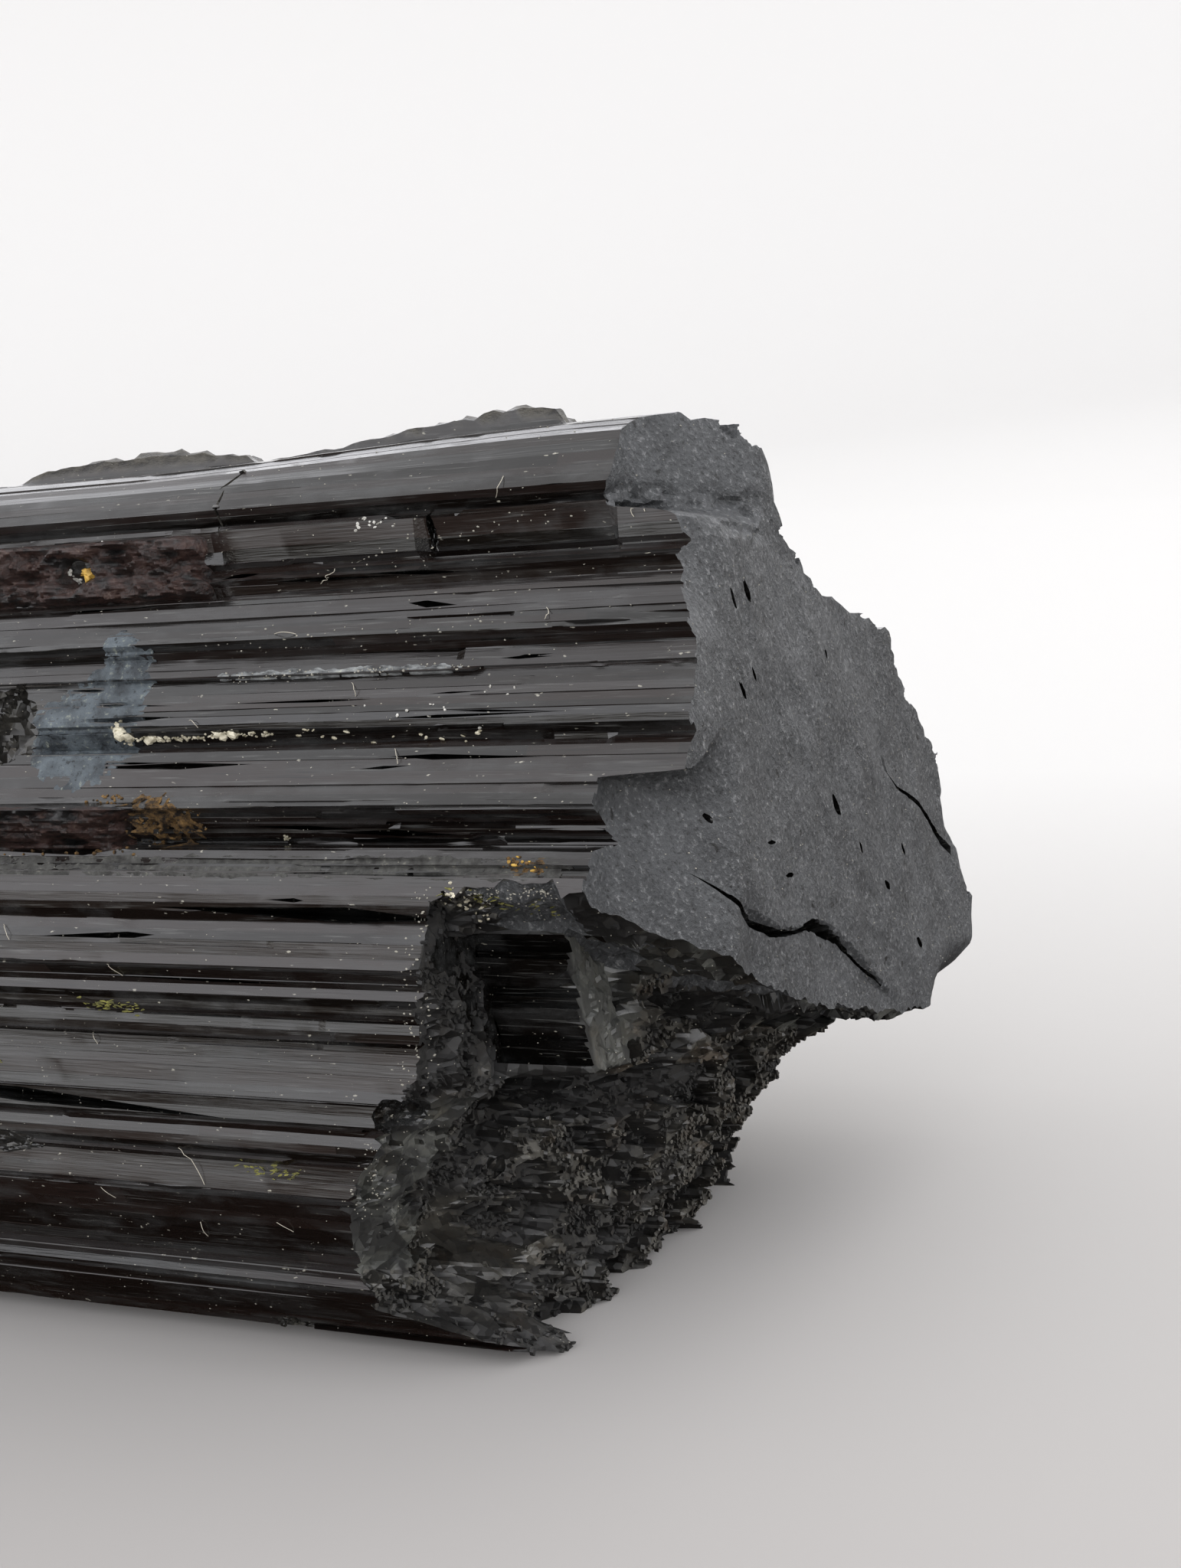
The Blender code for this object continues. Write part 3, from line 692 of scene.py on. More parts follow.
for index in range(SLIVERS):
    length = fine_rng.uniform(3.0, 15.0)
    axial = fine_rng.uniform(-52.0, -4.0 - length)
    up = fine_rng.choice((1, 1, -1)) * fine_rng.uniform(1.0, 13.5)
    end = (axial + length, up + fine_rng.uniform(-0.25, 0.25))
    widest, tall = fine_rng.uniform(0.15, 0.85), fine_rng.uniform(0.15, 0.45)
    depth = fine_rng.uniform(0.5, 1.0)
    cutters.append(sliver("sliver_%d" % index, (axial, up), end, widest, tall, depth))
for cutter in cutters:
    cut = crystal.modifiers.new(cutter.name, "BOOLEAN")
    cut.operation = "DIFFERENCE"
    cut.solver = "MANIFOLD"
    cut.object = cutter
for name in ("natural_prism_face", "dull_cross_break", "hackly_break", "splintered_layer_end"):
    material = new_material(name)
    for body in [crystal] + cutters:
        body.data.materials.append(material)
whole = bpy.data.meshes.new_from_object(crystal.evaluated_get(bpy.context.evaluated_depsgraph_get()))
crystal.modifiers.clear()
crystal.data = whole
for cutter in cutters:
    bpy.data.objects.remove(cutter)

# Where the humps behind the crest are weathered: the left one all over, the right one on top and at its
# end. And how much painted shade darkens the holes and hollows of the coarse break.
weathered = whole.attributes.new("weathered", "FLOAT", "POINT")
painted_hole_shade = whole.attributes.new("painted_hole_shade", "FLOAT", "POINT")
for vertex in whole.vertices:
    axial, out, up = vertex.co
    if 9.0 < out < 17.34 and up > 18.0 and axial < 0.5:
        height = up - CREST[1] + CREST_DROP * smooth(*CREST_DROP_AXIALS, axial)
        share = height / max(along(HUMPS, axial), 0.4)
        dark_wall = 0.5 + 0.5 * window(-34.4, -14.8, axial, 0.3)
        ragged = 0.4 * noise.noise(Vector((axial / 1.2, 0.0, 51.0)))
        start = 0.05 + 0.55 * dark_wall
        weathered.data[vertex.index].value = smooth(start, start + 0.3, share + ragged)
    # How much painted shade darkens each point of the coarse break.
    if axial > -30.0 and up < ledge_height(out):
        painted_hole_shade.data[vertex.index].value = painted_hole_shade_at(out, up)
section_surface = BVHTree.FromPolygons([vertex.co.copy() for vertex in whole.vertices],
                                       [tuple(face.vertices) for face in whole.polygons])
crystal.name = "striated_crystal"
sharpen_and_place(crystal, CRISP_ANGLE)
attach(crystal, "root")
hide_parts("tourmaline_crystal")


# The crystal's four surfaces. All are black tourmaline, and what differs is how each was made: grown, broken
# across, torn along its needles, or splintered. Their patterns are sized in millimetres.
TOURMALINE_IOR = 1.63


def linear(hex_colour):
    """An sRGB hex colour as linear red, green, blue and alpha."""
    channels = [int(hex_colour[place:place + 2], 16) / 255.0 for place in (1, 3, 5)]
    return [c / 12.92 if c <= 0.04045 else ((c + 0.055) / 1.055) ** 2.4 for c in channels] + [1.0]


def set_inputs(node, **inputs):
    """Gives a node's inputs values, hex colours or links to outputs; _0 stands for the first input."""
    for name, value in inputs.items():
        socket = node.inputs[int(name[1:])] if name[1:].isdigit() else node.inputs[name.replace("_", " ")]
        if isinstance(value, bpy.types.NodeSocket):
            node.id_data.links.new(value, socket)
        else:
            socket.default_value = linear(value) if isinstance(value, str) else value


def add_node(owner, kind, settings=None, output=0, **inputs):
    """Adds a node to a tree or to an owner's tree, and returns one of its outputs."""
    tree = owner if isinstance(owner, bpy.types.NodeTree) else owner.node_tree
    node = tree.nodes.new(kind)
    for name, value in (settings or {}).items():
        setattr(node, name, value)
    set_inputs(node, **inputs)
    return node.outputs[output]


def shader_of(material):
    return material.node_tree.nodes["Principled BSDF"]


def object_place(material, stretch=(1.0, 1.0, 1.0), turn=0.0):
    """The place on the object in millimetres, for patterns that are stretched along its axes; turn, in
    degrees about the prism's axis, leans the stretched direction back from upright towards the front."""
    place = add_node(material, "ShaderNodeTexCoord", output="Object")
    return add_node(material, "ShaderNodeMapping", {"vector_type": "TEXTURE"}, Vector=place,
                    Rotation=(math.radians(turn), 0.0, 0.0), Scale=[0.001 * share for share in stretch])


def tinted(material, tone, *tints):
    """A tone with others over it. Each tint has a pattern, the value where it shows none, the value where
    it shows most, its colour, and how much that is."""
    for pattern, none_at, most_at, colour, most in tints:
        share = add_node(material, "ShaderNodeMapRange", Value=pattern, From_Min=none_at, From_Max=most_at,
                         To_Max=most)
        tone = add_node(material, "ShaderNodeMixRGB", Fac=share, Color1=tone, Color2=colour)
    return tone


def facet_normal(material, cells, strength):
    """The surface's normal, turned a little at random in each cell of a pattern."""
    middle = (0.5, 0.5, 0.5)
    centred = add_node(material, "ShaderNodeVectorMath", {"operation": "SUBTRACT"}, _0=cells, _1=middle)
    turned = add_node(material, "ShaderNodeVectorMath", {"operation": "SCALE"}, _0=centred, Scale=strength)
    normal = add_node(material, "ShaderNodeNewGeometry", output="Normal")
    total = add_node(material, "ShaderNodeVectorMath", {"operation": "ADD"}, _0=turned, _1=normal)
    return add_node(material, "ShaderNodeVectorMath", {"operation": "NORMALIZE"}, _0=total)


prism_face, dull_break, hackly_break, layer_break = whole.materials

# Natural prism face: glassy black tourmaline with a brown cast, covered in striations too fine to model,
# whose glints and shade are painted as pale and dark lines along them. Some blades are polished and some
# filmed with dust. Specks under 0.1 mm are drawn larger, so that they show.
blade = add_node(prism_face, "ShaderNodeAttribute", {"attribute_name": "tone"}, "Fac")
weathered = add_node(prism_face, "ShaderNodeAttribute", {"attribute_name": "weathered"}, "Fac")
lengthwise = object_place(prism_face, (25.0, 1.0, 1.0))
rounder = object_place(prism_face, (2.0, 1.0, 1.0))
streaks = add_node(prism_face, "ShaderNodeTexNoise", Vector=lengthwise, Scale=1.4, Detail=5.0)
fine_striations_and_painted_light = add_node(prism_face, "ShaderNodeTexNoise", Vector=lengthwise, Scale=6.0, Detail=3.0)
clouds = add_node(prism_face, "ShaderNodeTexNoise", Vector=rounder, Scale=0.25, Detail=6.0, Roughness=0.65)
crumbs = add_node(prism_face, "ShaderNodeTexNoise", Vector=rounder, Scale=1.6, Detail=6.0, Roughness=0.7)
specks = add_node(prism_face, "ShaderNodeTexNoise", Vector=object_place(prism_face, (2.5, 1.0, 1.0)),
                  Scale=3.6, Detail=2.0)
cloudy = add_node(prism_face, "ShaderNodeMapRange", Value=clouds, From_Min=0.46, From_Max=0.7)
streaky = add_node(prism_face, "ShaderNodeMapRange", Value=streaks, From_Min=0.35, From_Max=0.65)
film = add_node(prism_face, "ShaderNodeMath", {"operation": "MULTIPLY"}, _0=cloudy, _1=streaky)
rind = tinted(prism_face, "#1b1815", (crumbs, 0.36, 0.62, "#5c584e", 1.0))
# The pale and dark tints of the fine striations are painted highlight and painted shade.
tone = tinted(prism_face, "#080706", (blade, 0.0, 1.0, "#1e1512", 1.0), (film, 0.0, 1.0, "#393a3a", 1.0),
              (fine_striations_and_painted_light, 0.6, 0.76, "#5d5e5c", 0.5), (fine_striations_and_painted_light, 0.38, 0.28, "#060505", 0.9),
              (specks, 0.72, 0.78, "#a8a598", 0.8), (weathered, 0.0, 1.0, rind, 1.0))
roughness = 0.12
for pattern, change in ((blade, 0.18), (film, 0.3), (weathered, 0.4)):
    roughness = add_node(prism_face, "ShaderNodeMath", {"operation": "MULTIPLY_ADD", "use_clamp": True},
                         _0=pattern, _1=change, _2=roughness)
fine_lines = add_node(prism_face, "ShaderNodeBump", Height=fine_striations_and_painted_light, Strength=0.7, Distance=0.00003)
grit = add_node(prism_face, "ShaderNodeBump", Height=crumbs, Strength=weathered, Distance=0.0009,
                Normal=fine_lines)
set_inputs(shader_of(prism_face), Base_Color=tone, Roughness=roughness, Normal=grit, IOR=TOURMALINE_IOR)

# Dull cross break: matt grey with a bluish cast, finely granular, with pale flecks and dark pores that are
# drawn out along one steep direction.
steep = object_place(dull_break, (1.0, 1.0, 1.4), 30.0)
flecks = add_node(dull_break, "ShaderNodeTexNoise", Vector=steep, Scale=3.4, Detail=5.0, Roughness=0.72)
pores = add_node(dull_break, "ShaderNodeTexNoise", Vector=steep, Scale=1.3, Detail=2.0)
clouds = add_node(dull_break, "ShaderNodeTexNoise", Vector=steep, Scale=0.3, Detail=5.0, Roughness=0.6)
cells = add_node(dull_break, "ShaderNodeTexVoronoi", output="Color", Vector=steep, Scale=5.0)
tone = tinted(dull_break, "#313335", (clouds, 0.36, 0.64, "#424446", 1.0),
              (flecks, 0.45, 0.34, "#171718", 0.95), (flecks, 0.55, 0.68, "#7c7d7e", 0.8),
              (flecks, 0.7, 0.74, "#aaa99f", 1.0), (pores, 0.3, 0.27, "#0b0b0b", 1.0))
roughness = add_node(dull_break, "ShaderNodeMapRange", Value=flecks, From_Min=0.3, From_Max=0.7, To_Min=0.6,
                     To_Max=0.42)
granular = add_node(dull_break, "ShaderNodeBump", Height=flecks, Strength=0.8, Distance=0.00025,
                    Normal=facet_normal(dull_break, cells, 0.22))
set_inputs(shader_of(dull_break), Base_Color=tone, Roughness=roughness, Normal=granular, IOR=TOURMALINE_IOR)


def broken_ends(material, place, scale, dark, light, pale, brown):
    """Ends of broken needles: matt where they face along the prism, glossy black on their sides; in the holes
    between them painted shade darkens them and they are rougher."""
    painted_hole_shade = add_node(material, "ShaderNodeAttribute", {"attribute_name": "painted_hole_shade"}, "Fac")
    normal = add_node(material, "ShaderNodeNewGeometry", output="Normal")
    facing = add_node(material, "ShaderNodeSeparateXYZ", Vector=normal)
    pieces = add_node(material, "ShaderNodeTexVoronoi", output="Color", Vector=place, Scale=scale)
    piece = add_node(material, "ShaderNodeSeparateXYZ", Vector=pieces)
    grain = add_node(material, "ShaderNodeTexNoise", Vector=place, Scale=2.6, Detail=6.0, Roughness=0.7)
    earth = add_node(material, "ShaderNodeTexNoise", Vector=object_place(material), Scale=0.35, Detail=6.0,
                     Roughness=0.65)
    # The last tint is painted shade, darkening the holes and hollows of the break.
    tone = tinted(material, dark, (piece, 0.0, 1.0, light, 1.0), (grain, 0.42, 0.34, "#0f0e0d", 0.9),
                  (grain, 0.58, 0.72, pale, 0.75), (earth, 0.53, 0.68, brown, 0.55),
                  (facing, 0.55, 0.1, "#0b0a09", 0.85), (painted_hole_shade, 0.2, 1.0, "#080707", 0.85))
    matt = add_node(material, "ShaderNodeMapRange", Value=facing, From_Min=0.25, From_Max=0.8, To_Min=0.3,
                    To_Max=0.55)
    rougher = add_node(material, "ShaderNodeMapRange", Value=painted_hole_shade, From_Min=0.2, To_Max=0.35)
    roughness = add_node(material, "ShaderNodeMath", {"operation": "ADD"}, _0=matt, _1=rougher)
    set_inputs(shader_of(material), Base_Color=tone, Roughness=roughness, IOR=TOURMALINE_IOR,
               Normal=facet_normal(material, pieces, 0.45))


# Hackly break: coarse steps of broken needles, each with its own flat end, and brown dust between them.
broken_ends(hackly_break, object_place(hackly_break, (1.0, 1.0, 1.9), 55.0), 1.5,
            "#31302d", "#514f49", "#7f7c70", "#4d4030")

# Splintered end of the outer layer: matt grey splinters, steeper than on the hackly break.
broken_ends(layer_break, object_place(layer_break, (1.0, 1.0, 2.6), 10.0), 1.3,
            "#3b3c3a", "#53544f", "#70716a", "#4f4a3e")


# Etched patch: two rounded lobes of tourmaline that was finely pitted by etching. It is the first of the
# crusts: thin layers that grew on, or crumbled from, the front. Each stands a little proud of the
# striations and ends in a ragged edge.
CRUST_DEPTH = 0.6               # how far each crust reaches into the crystal, in millimetres
CRUST_EDGE_ANGLE = 25.0


def front_place(axial, up):
    """The front's surface at one axial and up, in the crystal's own axes."""
    hit = section_surface.ray_cast(Vector((axial, 45.0, up)), Vector((0.0, -1.0, 0.0)))[0]
    return hit or Vector((axial, 0.0, up))


def crust(name, axial_span, up_span, pitch, proud_at, material):
    """Closed crust over one stretch of the front; proud_at gives its height, negative where it has none."""
    bm = bmesh.new()
    grid = []
    for axial in spaced(*axial_span, pitch):
        column = []
        for up in spaced(*up_span, pitch):
            place = front_place(axial, up)
            proud = proud_at(axial, up)
            column.append((bm.verts.new((axial, place.y + proud, up)), proud))
        grid.append(column)
    for left, right in zip(grid, grid[1:]):
        for index in range(len(left) - 1):
            corners = (left[index], left[index + 1], right[index + 1], right[index])
            if max(proud for vertex, proud in corners) > 0.0:
                bm.faces.new([vertex for vertex, proud in corners])
    bmesh.ops.delete(bm, geom=[vertex for vertex in bm.verts if not vertex.link_faces], context="VERTS")
    top = list(bm.faces)
    rim = [edge for edge in bm.edges if edge.is_boundary]
    under = bmesh.ops.duplicate(bm, geom=top)["vert_map"]
    for vertex in {vertex for face in top for vertex in face.verts}:
        under[vertex].co.y -= CRUST_DEPTH
    for edge in rim:
        first, second = edge.verts
        bm.faces.new((first, second, under[second], under[first]))
    layer = new_mesh_object(name, bm)
    layer.data.materials.append(material)
    sharpen_and_place(layer, CRUST_EDGE_ANGLE)
    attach(layer, "root")


def bumpy(axial, up, size, layer):
    """Noise between -1 and 1 with bumps of one size in millimetres."""
    return noise.noise(Vector((axial / size, up / size, layer)))


def etched_height(axial, up):
    """Two rounded lobes with a finely pitted top."""
    upper = 1.0 - math.hypot((axial + 40.6) / 2.4, (up - 6.8) / 3.6)
    lower = 1.0 - math.hypot((axial + 43.6) / 4.2, (up - 3.4) / 3.2)
    inside = max(upper, lower) + 0.3 * bumpy(axial, up, 1.3, 81.0) + 0.2 * bumpy(axial, up, 0.5, 82.0)
    rough = 0.1 * bumpy(axial, up, 0.7, 83.0) + 0.06 * bumpy(axial, up, 0.3, 84.0)
    return 0.3 * min(inside, 0.35) + rough * min(max(4.0 * inside, 0.0), 1.0)


# Etched tourmaline: pitted and matt, so it looks blue-grey beside the glassy faces.
etched_skin = new_material("etched_tourmaline_skin")
pits = add_node(etched_skin, "ShaderNodeTexNoise", Vector=object_place(etched_skin), Scale=2.2, Detail=5.0,
                Roughness=0.7)
patches = add_node(etched_skin, "ShaderNodeTexNoise", Vector=object_place(etched_skin), Scale=0.6, Detail=3.0)
tone = tinted(etched_skin, "#30363b", (patches, 0.35, 0.65, "#586167", 1.0),
              (pits, 0.58, 0.7, "#8f9488", 0.8), (pits, 0.44, 0.36, "#1b1f22", 0.9))
pitted = add_node(etched_skin, "ShaderNodeBump", Height=pits, Strength=0.6, Distance=0.0003)
set_inputs(shader_of(etched_skin), Base_Color=tone, Roughness=0.62, Normal=pitted)

crust("etched_patch", (-49.5, -37.0), (-0.3, 11.0), 0.17, etched_height, etched_skin)


# Rotten tourmaline: a block below the top rib and the filling of the deep slot, where the crystal has
# crumbled to loose fibres.
def ridged(axial, up, length, height, layer):
    """Sharp crests between 0 and 1, drawn out along the prism and bent."""
    bend = 1.2 * bumpy(axial, up, 4.0, layer + 1.0)
    return 1.0 - 2.0 * abs(wavy(axial, up + bend, length, height, layer))


def rotten_height(axial, up, low, high, right, layer):
    """Crumbling fibres between two heights, ending raggedly on the right."""
    edge = 1.4 * bumpy(axial, up, 2.0, layer)
    inside = window(low, high, up, 0.35) * (1.0 - smooth(right - 1.0, right + 0.6, axial + edge))
    fibres = 0.75 * ridged(axial, up, 3.2, 1.1, layer + 2.0) + 0.35 * ridged(axial, up, 0.9, 0.5, layer + 4.0)
    return 1.3 * inside - 0.7 + inside * (fibres - 0.2)


def rotten_block_height(axial, up):
    """The block's fibres, with a pit where a yellow grain sits."""
    pit = smooth(1.6, 0.8, math.hypot(axial + 45.7, 1.4 * (up - 14.5)))
    return rotten_height(axial, up, 12.4, 16.4, -34.8, 85.0) - 2.0 * pit


# Rotten tourmaline looks red-brown and fibrous, with black spots, and is still glossy in places.
rotten_crystal = new_material("rotten_tourmaline")
grain = add_node(rotten_crystal, "ShaderNodeTexNoise", Vector=object_place(rotten_crystal, (2.2, 1.0, 1.0)),
                 Scale=1.5, Detail=7.0, Roughness=0.7)
black_spots = add_node(rotten_crystal, "ShaderNodeTexNoise",
                       Vector=object_place(rotten_crystal, (2.5, 1.0, 1.0)), Scale=0.7, Detail=3.0)
tone = tinted(rotten_crystal, "#0b0706", (grain, 0.36, 0.6, "#3b241d", 1.0),
              (grain, 0.6, 0.74, "#6f5f55", 0.9), (black_spots, 0.46, 0.38, "#080606", 1.0))
roughness = add_node(rotten_crystal, "ShaderNodeMapRange", Value=grain, From_Min=0.3, From_Max=0.7,
                     To_Min=0.25, To_Max=0.6)
fibrous = add_node(rotten_crystal, "ShaderNodeBump", Height=grain, Strength=0.8, Distance=0.0004)
set_inputs(shader_of(rotten_crystal), Base_Color=tone, Roughness=roughness, Normal=fibrous,
           IOR=TOURMALINE_IOR)

crust("rotten_block", (-58.0, -32.6), (11.8, 16.9), 0.16, rotten_block_height, rotten_crystal)
crust("rotten_slot", (-58.0, -37.2), (-4.2, -0.6), 0.16,
      lambda axial, up: rotten_height(axial, up, -3.8, -1.1, -38.9, 90.0), rotten_crystal)


# Rust: a spongy lump of iron oxide that grew in the mouth of the deep slot.
def rusty_height(axial, up):
    """Spongy lump with deep holes."""
    inside = 1.0 - math.hypot((axial + 36.6) / 2.5, (up + 2.0) / 1.5)
    sponge = ridged(axial, up, 0.8, 0.6, 95.0)
    return 0.9 * min(inside, 0.4) + 0.8 * (sponge - 0.72) + 0.2 * bumpy(axial, up, 0.35, 96.0)


def mottled(name, roughness, scale, tone, tints, stretch=1.0, detail=6.0, unevenness=0.7, bump=None):
    """Earthy material with one pattern; tints are as for tinted, without the pattern."""
    material = new_material(name)
    pattern = add_node(material, "ShaderNodeTexNoise", Vector=object_place(material, (stretch, 1.0, 1.0)),
                       Scale=scale, Detail=detail, Roughness=unevenness)
    tone = tinted(material, tone, *[(pattern, *tint) for tint in tints])
    set_inputs(shader_of(material), Base_Color=tone, Roughness=roughness)
    if bump:
        strength, depth = bump
        rough = add_node(material, "ShaderNodeBump", Height=pattern, Strength=strength, Distance=depth)
        set_inputs(shader_of(material), Normal=rough)
    return material


# Iron oxide is earthy and quite matt: ochre with pale crests and nearly black hollows.
rust = mottled("earthy_iron_oxide", 0.85, 1.6, "#1a120b",
               [(0.4, 0.6, "#7d6036", 1.0), (0.62, 0.72, "#bd9d65", 1.0)], bump=(0.9, 0.0004))

crust("rusty_mouth", (-39.6, -33.2), (-4.0, 0.4), 0.12, rusty_height, rust)


# Films: patchy layers of pale minerals and clay, about 0.1 mm thick, that dried on the front in three places.
def film_height(axial, up, low, high, left, right, layer, size):
    """Patches of film between two heights and two axial places."""
    inside = window(low, high, up, 0.3) * window(left, right, axial, 1.5)
    patches = 0.45 * bumpy(axial, up, size, layer) + 0.25 * bumpy(axial, up, 0.35, layer + 1.0)
    return 0.12 * (inside - 0.75 + patches)


# Pale mineral of the seam: matt, grey-green and speckled along the striations.
seam_crust = mottled("grey_green_crust", 0.8, 1.8, "#353637",
                     [(0.38, 0.6, "#888b8b", 1.0), (0.62, 0.72, "#b3b6a4", 1.0)], stretch=2.0)
# Clay: matt and grey with darker cracks.
clay_film = mottled("grey_green_clay_film", 0.8, 1.5, "#2a2927",
                    [(0.36, 0.62, "#4c4c49", 1.0), (0.62, 0.74, "#8f8d7f", 0.8)], bump=(0.7, 0.0003))

crust("pale_seam", (-35.0, -12.5), (6.2, 7.9), 0.15,
      lambda axial, up: film_height(axial, up, 6.8, 7.5, -33.4, -15.0, 97.0, 0.9), seam_crust)
crust("clay_band", (-52.0, -5.0), (-6.2, -3.6), 0.2,
      lambda axial, up: film_height(axial, up, -5.6, -4.0, -50.0, -6.5, 99.0, 1.2) - 0.015, clay_film)
crust("rusty_spot", (-15.5, -6.0), (-5.8, -3.5), 0.13,
      lambda axial, up: film_height(axial, up, -5.4, -4.2, -11.6, -7.8, 101.0, 0.7) - 0.01, rust)


# Broken needles of the coarse break: short prisms of tourmaline, 0.2 to 0.5 mm thick, that lie along the
# crystal with flat ends, so they show as small plates with dark gaps between them.
def scatter_tree(material, shape, surface_material=None):
    """Tree that puts a small faceted shape on scattered points of a surface, thicker in some patches than
    in others, or on each point of a mesh, turned and sized at random."""
    tree = bpy.data.node_groups.new("scatter_" + material.name, "GeometryNodeTree")
    sockets = [("Surface", "Geometry"), ("Density", "Float"), ("Patches", "Float"), ("Smallest", "Vector"),
               ("Largest", "Vector"), ("Turn least", "Vector"), ("Turn most", "Vector"), ("Seed", "Int")]
    for name, kind in sockets:
        tree.interface.new_socket(name, in_out="INPUT", socket_type="NodeSocket" + kind)
    tree.interface.new_socket("Grains", in_out="OUTPUT", socket_type="NodeSocketGeometry")
    given = tree.nodes.new("NodeGroupInput").outputs
    points = given["Surface"]
    if surface_material:
        picked = add_node(tree, "GeometryNodeMaterialSelection", Material=surface_material)
        if shape == "needle":                # needles stand only where the break faces along the prism
            normal = add_node(tree, "GeometryNodeInputNormal")
            facing = add_node(tree, "ShaderNodeSeparateXYZ", Vector=normal)
            ends = add_node(tree, "FunctionNodeCompare", {"operation": "GREATER_THAN"}, A=facing, B=0.45)
            picked = add_node(tree, "FunctionNodeBooleanMath", {"operation": "AND"}, _0=picked, _1=ends)
        patches = add_node(tree, "ShaderNodeTexNoise", Scale=given["Patches"], Detail=2.0)
        share = add_node(tree, "ShaderNodeMapRange", Value=patches, From_Min=0.4, From_Max=0.62, To_Min=0.15,
                         To_Max=1.85)
        density = add_node(tree, "ShaderNodeMath", {"operation": "MULTIPLY"}, _0=share, _1=given["Density"])
        points = add_node(tree, "GeometryNodeDistributePointsOnFaces", output="Points", Mesh=points,
                          Selection=picked, Density=density, Seed=given["Seed"])
    if shape == "needle":
        upright = add_node(tree, "GeometryNodeMeshCylinder", Vertices=6, Radius=1.0, Depth=2.0)
        piece = add_node(tree, "GeometryNodeTransform", Geometry=upright, Rotation=(0.0, math.pi / 2.0, 0.0))
    else:
        piece = add_node(tree, "GeometryNodeMeshIcoSphere", Radius=1.0, Subdivisions=1)
    turn = add_node(tree, "FunctionNodeRandomValue", {"data_type": "FLOAT_VECTOR"}, _0=given["Turn least"],
                    _1=given["Turn most"], Seed=given["Seed"])
    size = add_node(tree, "FunctionNodeRandomValue", {"data_type": "FLOAT_VECTOR"}, _0=given["Smallest"],
                    _1=given["Largest"], Seed=given["Seed"])
    placed = add_node(tree, "GeometryNodeInstanceOnPoints", Points=points, Instance=piece, Rotation=turn,
                      Scale=size)
    real = add_node(tree, "GeometryNodeRealizeInstances", Geometry=placed)
    painted = add_node(tree, "GeometryNodeSetMaterial", Geometry=real, Material=material)
    set_inputs(tree.nodes.new("NodeGroupOutput"), Grains=painted)
    return tree


def scatter(name, carrier, tree, smallest, largest, **values):
    """Runs the tree on a copy of the carrier's mesh, with half sizes in millimetres and values for its other
    named inputs, and keeps the result."""
    grains = bpy.data.objects.new(name, carrier.copy())
    scene.collection.objects.link(grains)
    spread = grains.modifiers.new("scatter", "NODES")
    spread.node_group = tree
    values["Smallest"] = [0.001 * size for size in smallest]
    values["Largest"] = [0.001 * size for size in largest]
    for socket in tree.interface.items_tree:
        key = socket.name.replace(" ", "_")
        if socket.in_out == "INPUT" and key in values:
            spread[socket.identifier] = values[key]
    made = bpy.data.meshes.new_from_object(grains.evaluated_get(bpy.context.evaluated_depsgraph_get()))
    grains.modifiers.clear()
    grains.data = made
    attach(grains, "root")


scatter("broken_needles", whole, scatter_tree(hackly_break, "needle", hackly_break),
        (0.1, 0.08, 0.1), (0.24, 0.22, 0.45), Density=6.0e6, Patches=420.0, Seed=3,
        Turn_least=(0.0, -0.25, -0.25), Turn_most=(1.5, 0.25, 0.25))

# Dust: pale rock specks some hundredths of a millimetre across, that lie on every face. They are matt.
LUMP_TURNS = {"Turn_least": (-3.1, -0.5, -0.5), "Turn_most": (3.1, 0.5, 0.5)}
dust = new_material("pale_rock_dust")
set_inputs(shader_of(dust), Base_Color="#98958a", Roughness=0.8)
for surface, density in ((prism_face, 1.6e5), (dull_break, 3.0e5), (hackly_break, 4.0e5),
                         (layer_break, 6.0e5)):
    scatter("dust_on_" + surface.name, whole, scatter_tree(dust, "lump", surface),
            (0.02, 0.01, 0.01), (0.09, 0.05, 0.05), Density=density, Patches=260.0, Seed=5, **LUMP_TURNS)

# Mineral grains caught in the steps of the front: matt cream feldspar, yellow grains, rust crumbs and
# smears of green film.
MOTTLE = {"detail": 4.0, "unevenness": 0.5}
cream = mottled("cream_feldspar", 0.55, 2.0, "#7f7964", [(0.35, 0.65, "#cfc9b4", 1.0)], **MOTTLE)
yellow = mottled("yellow_grain", 0.5, 2.0, "#8f6c22", [(0.35, 0.65, "#dcb455", 1.0)], **MOTTLE)
green_film = mottled("yellow_green_film", 0.8, 2.0, "#4b4a26", [(0.35, 0.65, "#7f7c3c", 1.0)], **MOTTLE)
white = mottled("white_crumb", 0.6, 2.0, "#96948c", [(0.35, 0.65, "#d9d8d2", 1.0)], **MOTTLE)

